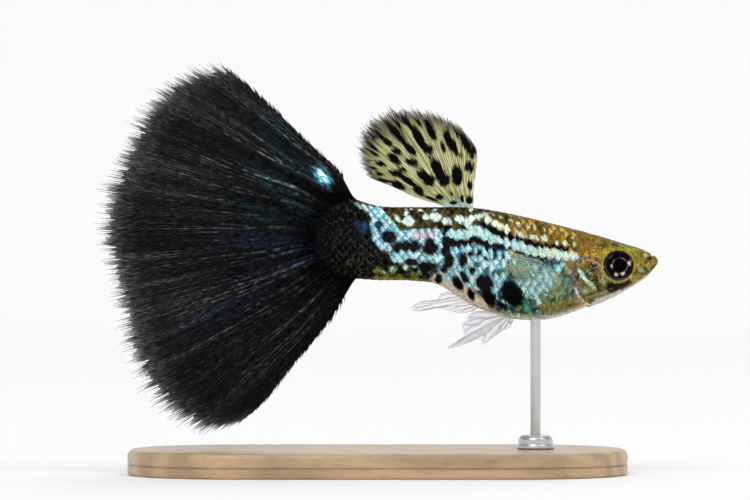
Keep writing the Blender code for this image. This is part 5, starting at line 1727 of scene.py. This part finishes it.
def stage_bowl(colour):
    """A pale floor that sweeps up all round, alike from every side: a flat disc, an arc and a wall."""
    flat, round_by, wall = 800.0, 450.0, 520.0
    profile = [(60.0, 0.0), (200.0, 0.0), (400.0, 0.0), (flat, 0.0)]
    profile += arc((flat, round_by), round_by, -90, 0, 24)[1:] + [(flat + round_by, wall)]
    profile = np.array(profile)
    spokes = 128
    turn = np.linspace(0, 2 * math.pi, spokes, endpoint=False)
    points = np.stack(
        [profile[:, :1] * np.cos(turn), profile[:, :1] * np.sin(turn), np.repeat(profile[:, 1:], spokes, axis=1)],
        axis=-1,
    ).reshape(-1, 3)
    mesh = bpy.data.meshes.new("stage_sweep")
    faces = [*grid_faces(len(profile), spokes, wrap=True)[:, ::-1].tolist(), list(range(spokes))]
    mesh.from_pydata((points * MM).tolist(), [], faces)
    mesh.shade_smooth()
    mesh.materials.append(stage_finish(colour))
    sweep = bpy.data.objects.new("stage_sweep", mesh)
    bpy.context.scene.collection.objects.link(sweep)


def light_and_camera(settings):
    """Soft light from all round, and the camera square to the right flank."""
    scene = bpy.context.scene
    scene.view_settings.view_transform = "Standard"
    world = bpy.data.worlds.new("stage_world")
    scene.world = world
    world.use_nodes = True
    world.node_tree.nodes["Background"].inputs["Color"].default_value = (1, 1, 1, 1)
    world.node_tree.nodes["Background"].inputs["Strength"].default_value = 1.0 * settings.light
    middle = (0.0, 0.0, 0.02)
    lamp("key_light", (-0.45, -1.05, 1.45), middle, 0.9, 22.0 * settings.light)
    lamp("fill_light", (0.95, -0.60, 1.35), middle, 0.9, 10.0 * settings.light)
    lamp("back_light", (0.2, 1.25, 1.45), middle, 1.0, 12.0 * settings.light)
    lamp("top_light", (0.0, 0.0, 1.9), middle, 1.4, 10.0 * settings.light)
    data = bpy.data.cameras.new("camera")
    data.lens = CAMERA_LENS
    data.sensor_width = CAMERA_SENSOR
    data.clip_start = 0.01
    data.clip_end = 50
    camera = bpy.data.objects.new("camera", data)
    scene.collection.objects.link(camera)
    camera.location = tuple(part * MM for part in CAMERA_PLACE)
    camera.rotation_euler = (math.pi / 2, 0, 0)
    scene.camera = camera


# The operators

class GUPPY_OT_skin(bpy.types.Operator):
    """Make the fish's one skin, with its painted markings and the head's relief"""

    bl_idname = "guppy.skin"
    bl_label = "Skin"

    def execute(self, context):
        skin_piece(context.scene.guppy_fish)
        return {"FINISHED"}


class GUPPY_OT_scales(bpy.types.Operator):
    """Cover the trunk and the tail stalk with overlapping scales"""

    bl_idname = "guppy.scales"
    bl_label = "Scales"

    def execute(self, context):
        scale_coat(context.scene.guppy_fish)
        return {"FINISHED"}


class GUPPY_OT_eyes(bpy.types.Operator):
    """Set both eyes in their sockets"""

    bl_idname = "guppy.eyes"
    bl_label = "Eyes"

    def execute(self, context):
        eye_pieces()
        return {"FINISHED"}


class GUPPY_OT_tail_fin(bpy.types.Operator):
    """Make the black tail fin, its sheet and its forked rays"""

    bl_idname = "guppy.tail_fin"
    bl_label = "Tail fin"

    def execute(self, context):
        tail_fin_pieces(context.scene.guppy_fish)
        return {"FINISHED"}


class GUPPY_OT_dorsal_fin(bpy.types.Operator):
    """Make the spotted dorsal fin, its sheet and its forked rays"""

    bl_idname = "guppy.dorsal_fin"
    bl_label = "Dorsal fin"

    def execute(self, context):
        dorsal_fin_pieces(context.scene.guppy_fish)
        return {"FINISHED"}


class GUPPY_OT_small_fins(bpy.types.Operator):
    """Make the clear pectoral, pelvic and anal fins"""

    bl_idname = "guppy.small_fins"
    bl_label = "Small fins"

    def execute(self, context):
        small_fin_pieces()
        return {"FINISHED"}


class GUPPY_OT_stand(bpy.types.Operator):
    """Make the display stand's wooden base, steel rod and collar"""

    bl_idname = "guppy.stand"
    bl_label = "Stand"

    def execute(self, context):
        stand_pieces(context.scene.guppy_stand)
        return {"FINISHED"}


class GUPPY_OT_stage(bpy.types.Operator):
    """Set up the pale floor, the soft light and the camera"""

    bl_idname = "guppy.stage"
    bl_label = "Stage"

    def execute(self, context):
        stage_bowl(tuple(context.scene.guppy_stand.floor))
        light_and_camera(context.scene.guppy_stand)
        return {"FINISHED"}


OPERATORS = (
    GUPPY_OT_skin,
    GUPPY_OT_scales,
    GUPPY_OT_eyes,
    GUPPY_OT_tail_fin,
    GUPPY_OT_dorsal_fin,
    GUPPY_OT_small_fins,
    GUPPY_OT_stand,
    GUPPY_OT_stage,
)


class GUPPY_PT_panel(bpy.types.Panel):
    """The guppy's settings and the buttons that make its pieces"""

    bl_idname = "GUPPY_PT_panel"
    bl_label = "Fancy guppy"
    bl_space_type = "VIEW_3D"
    bl_region_type = "UI"
    bl_category = "Guppy"

    def draw(self, context):
        for group in (context.scene.guppy_fish, context.scene.guppy_stand):
            for name in group.__annotations__:
                self.layout.prop(group, name)
        for operator in OPERATORS:
            self.layout.operator(operator.bl_idname)


CLASSES = (GuppyFish, GuppyStand, *OPERATORS, GUPPY_PT_panel)


def register():
    for kind in CLASSES:
        bpy.utils.register_class(kind)
    bpy.types.Scene.guppy_fish = PointerProperty(type=GuppyFish)
    bpy.types.Scene.guppy_stand = PointerProperty(type=GuppyStand)


def unregister():
    del bpy.types.Scene.guppy_fish
    del bpy.types.Scene.guppy_stand
    for kind in reversed(CLASSES):
        bpy.utils.unregister_class(kind)


def main():
    register()
    bpy.ops.guppy.skin()
    bpy.ops.guppy.scales()
    bpy.ops.guppy.eyes()
    bpy.ops.guppy.tail_fin()
    bpy.ops.guppy.dorsal_fin()
    bpy.ops.guppy.small_fins()
    bpy.ops.guppy.stand()
    bpy.ops.guppy.stage()
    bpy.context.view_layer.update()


if __name__ == "__main__":
    main()
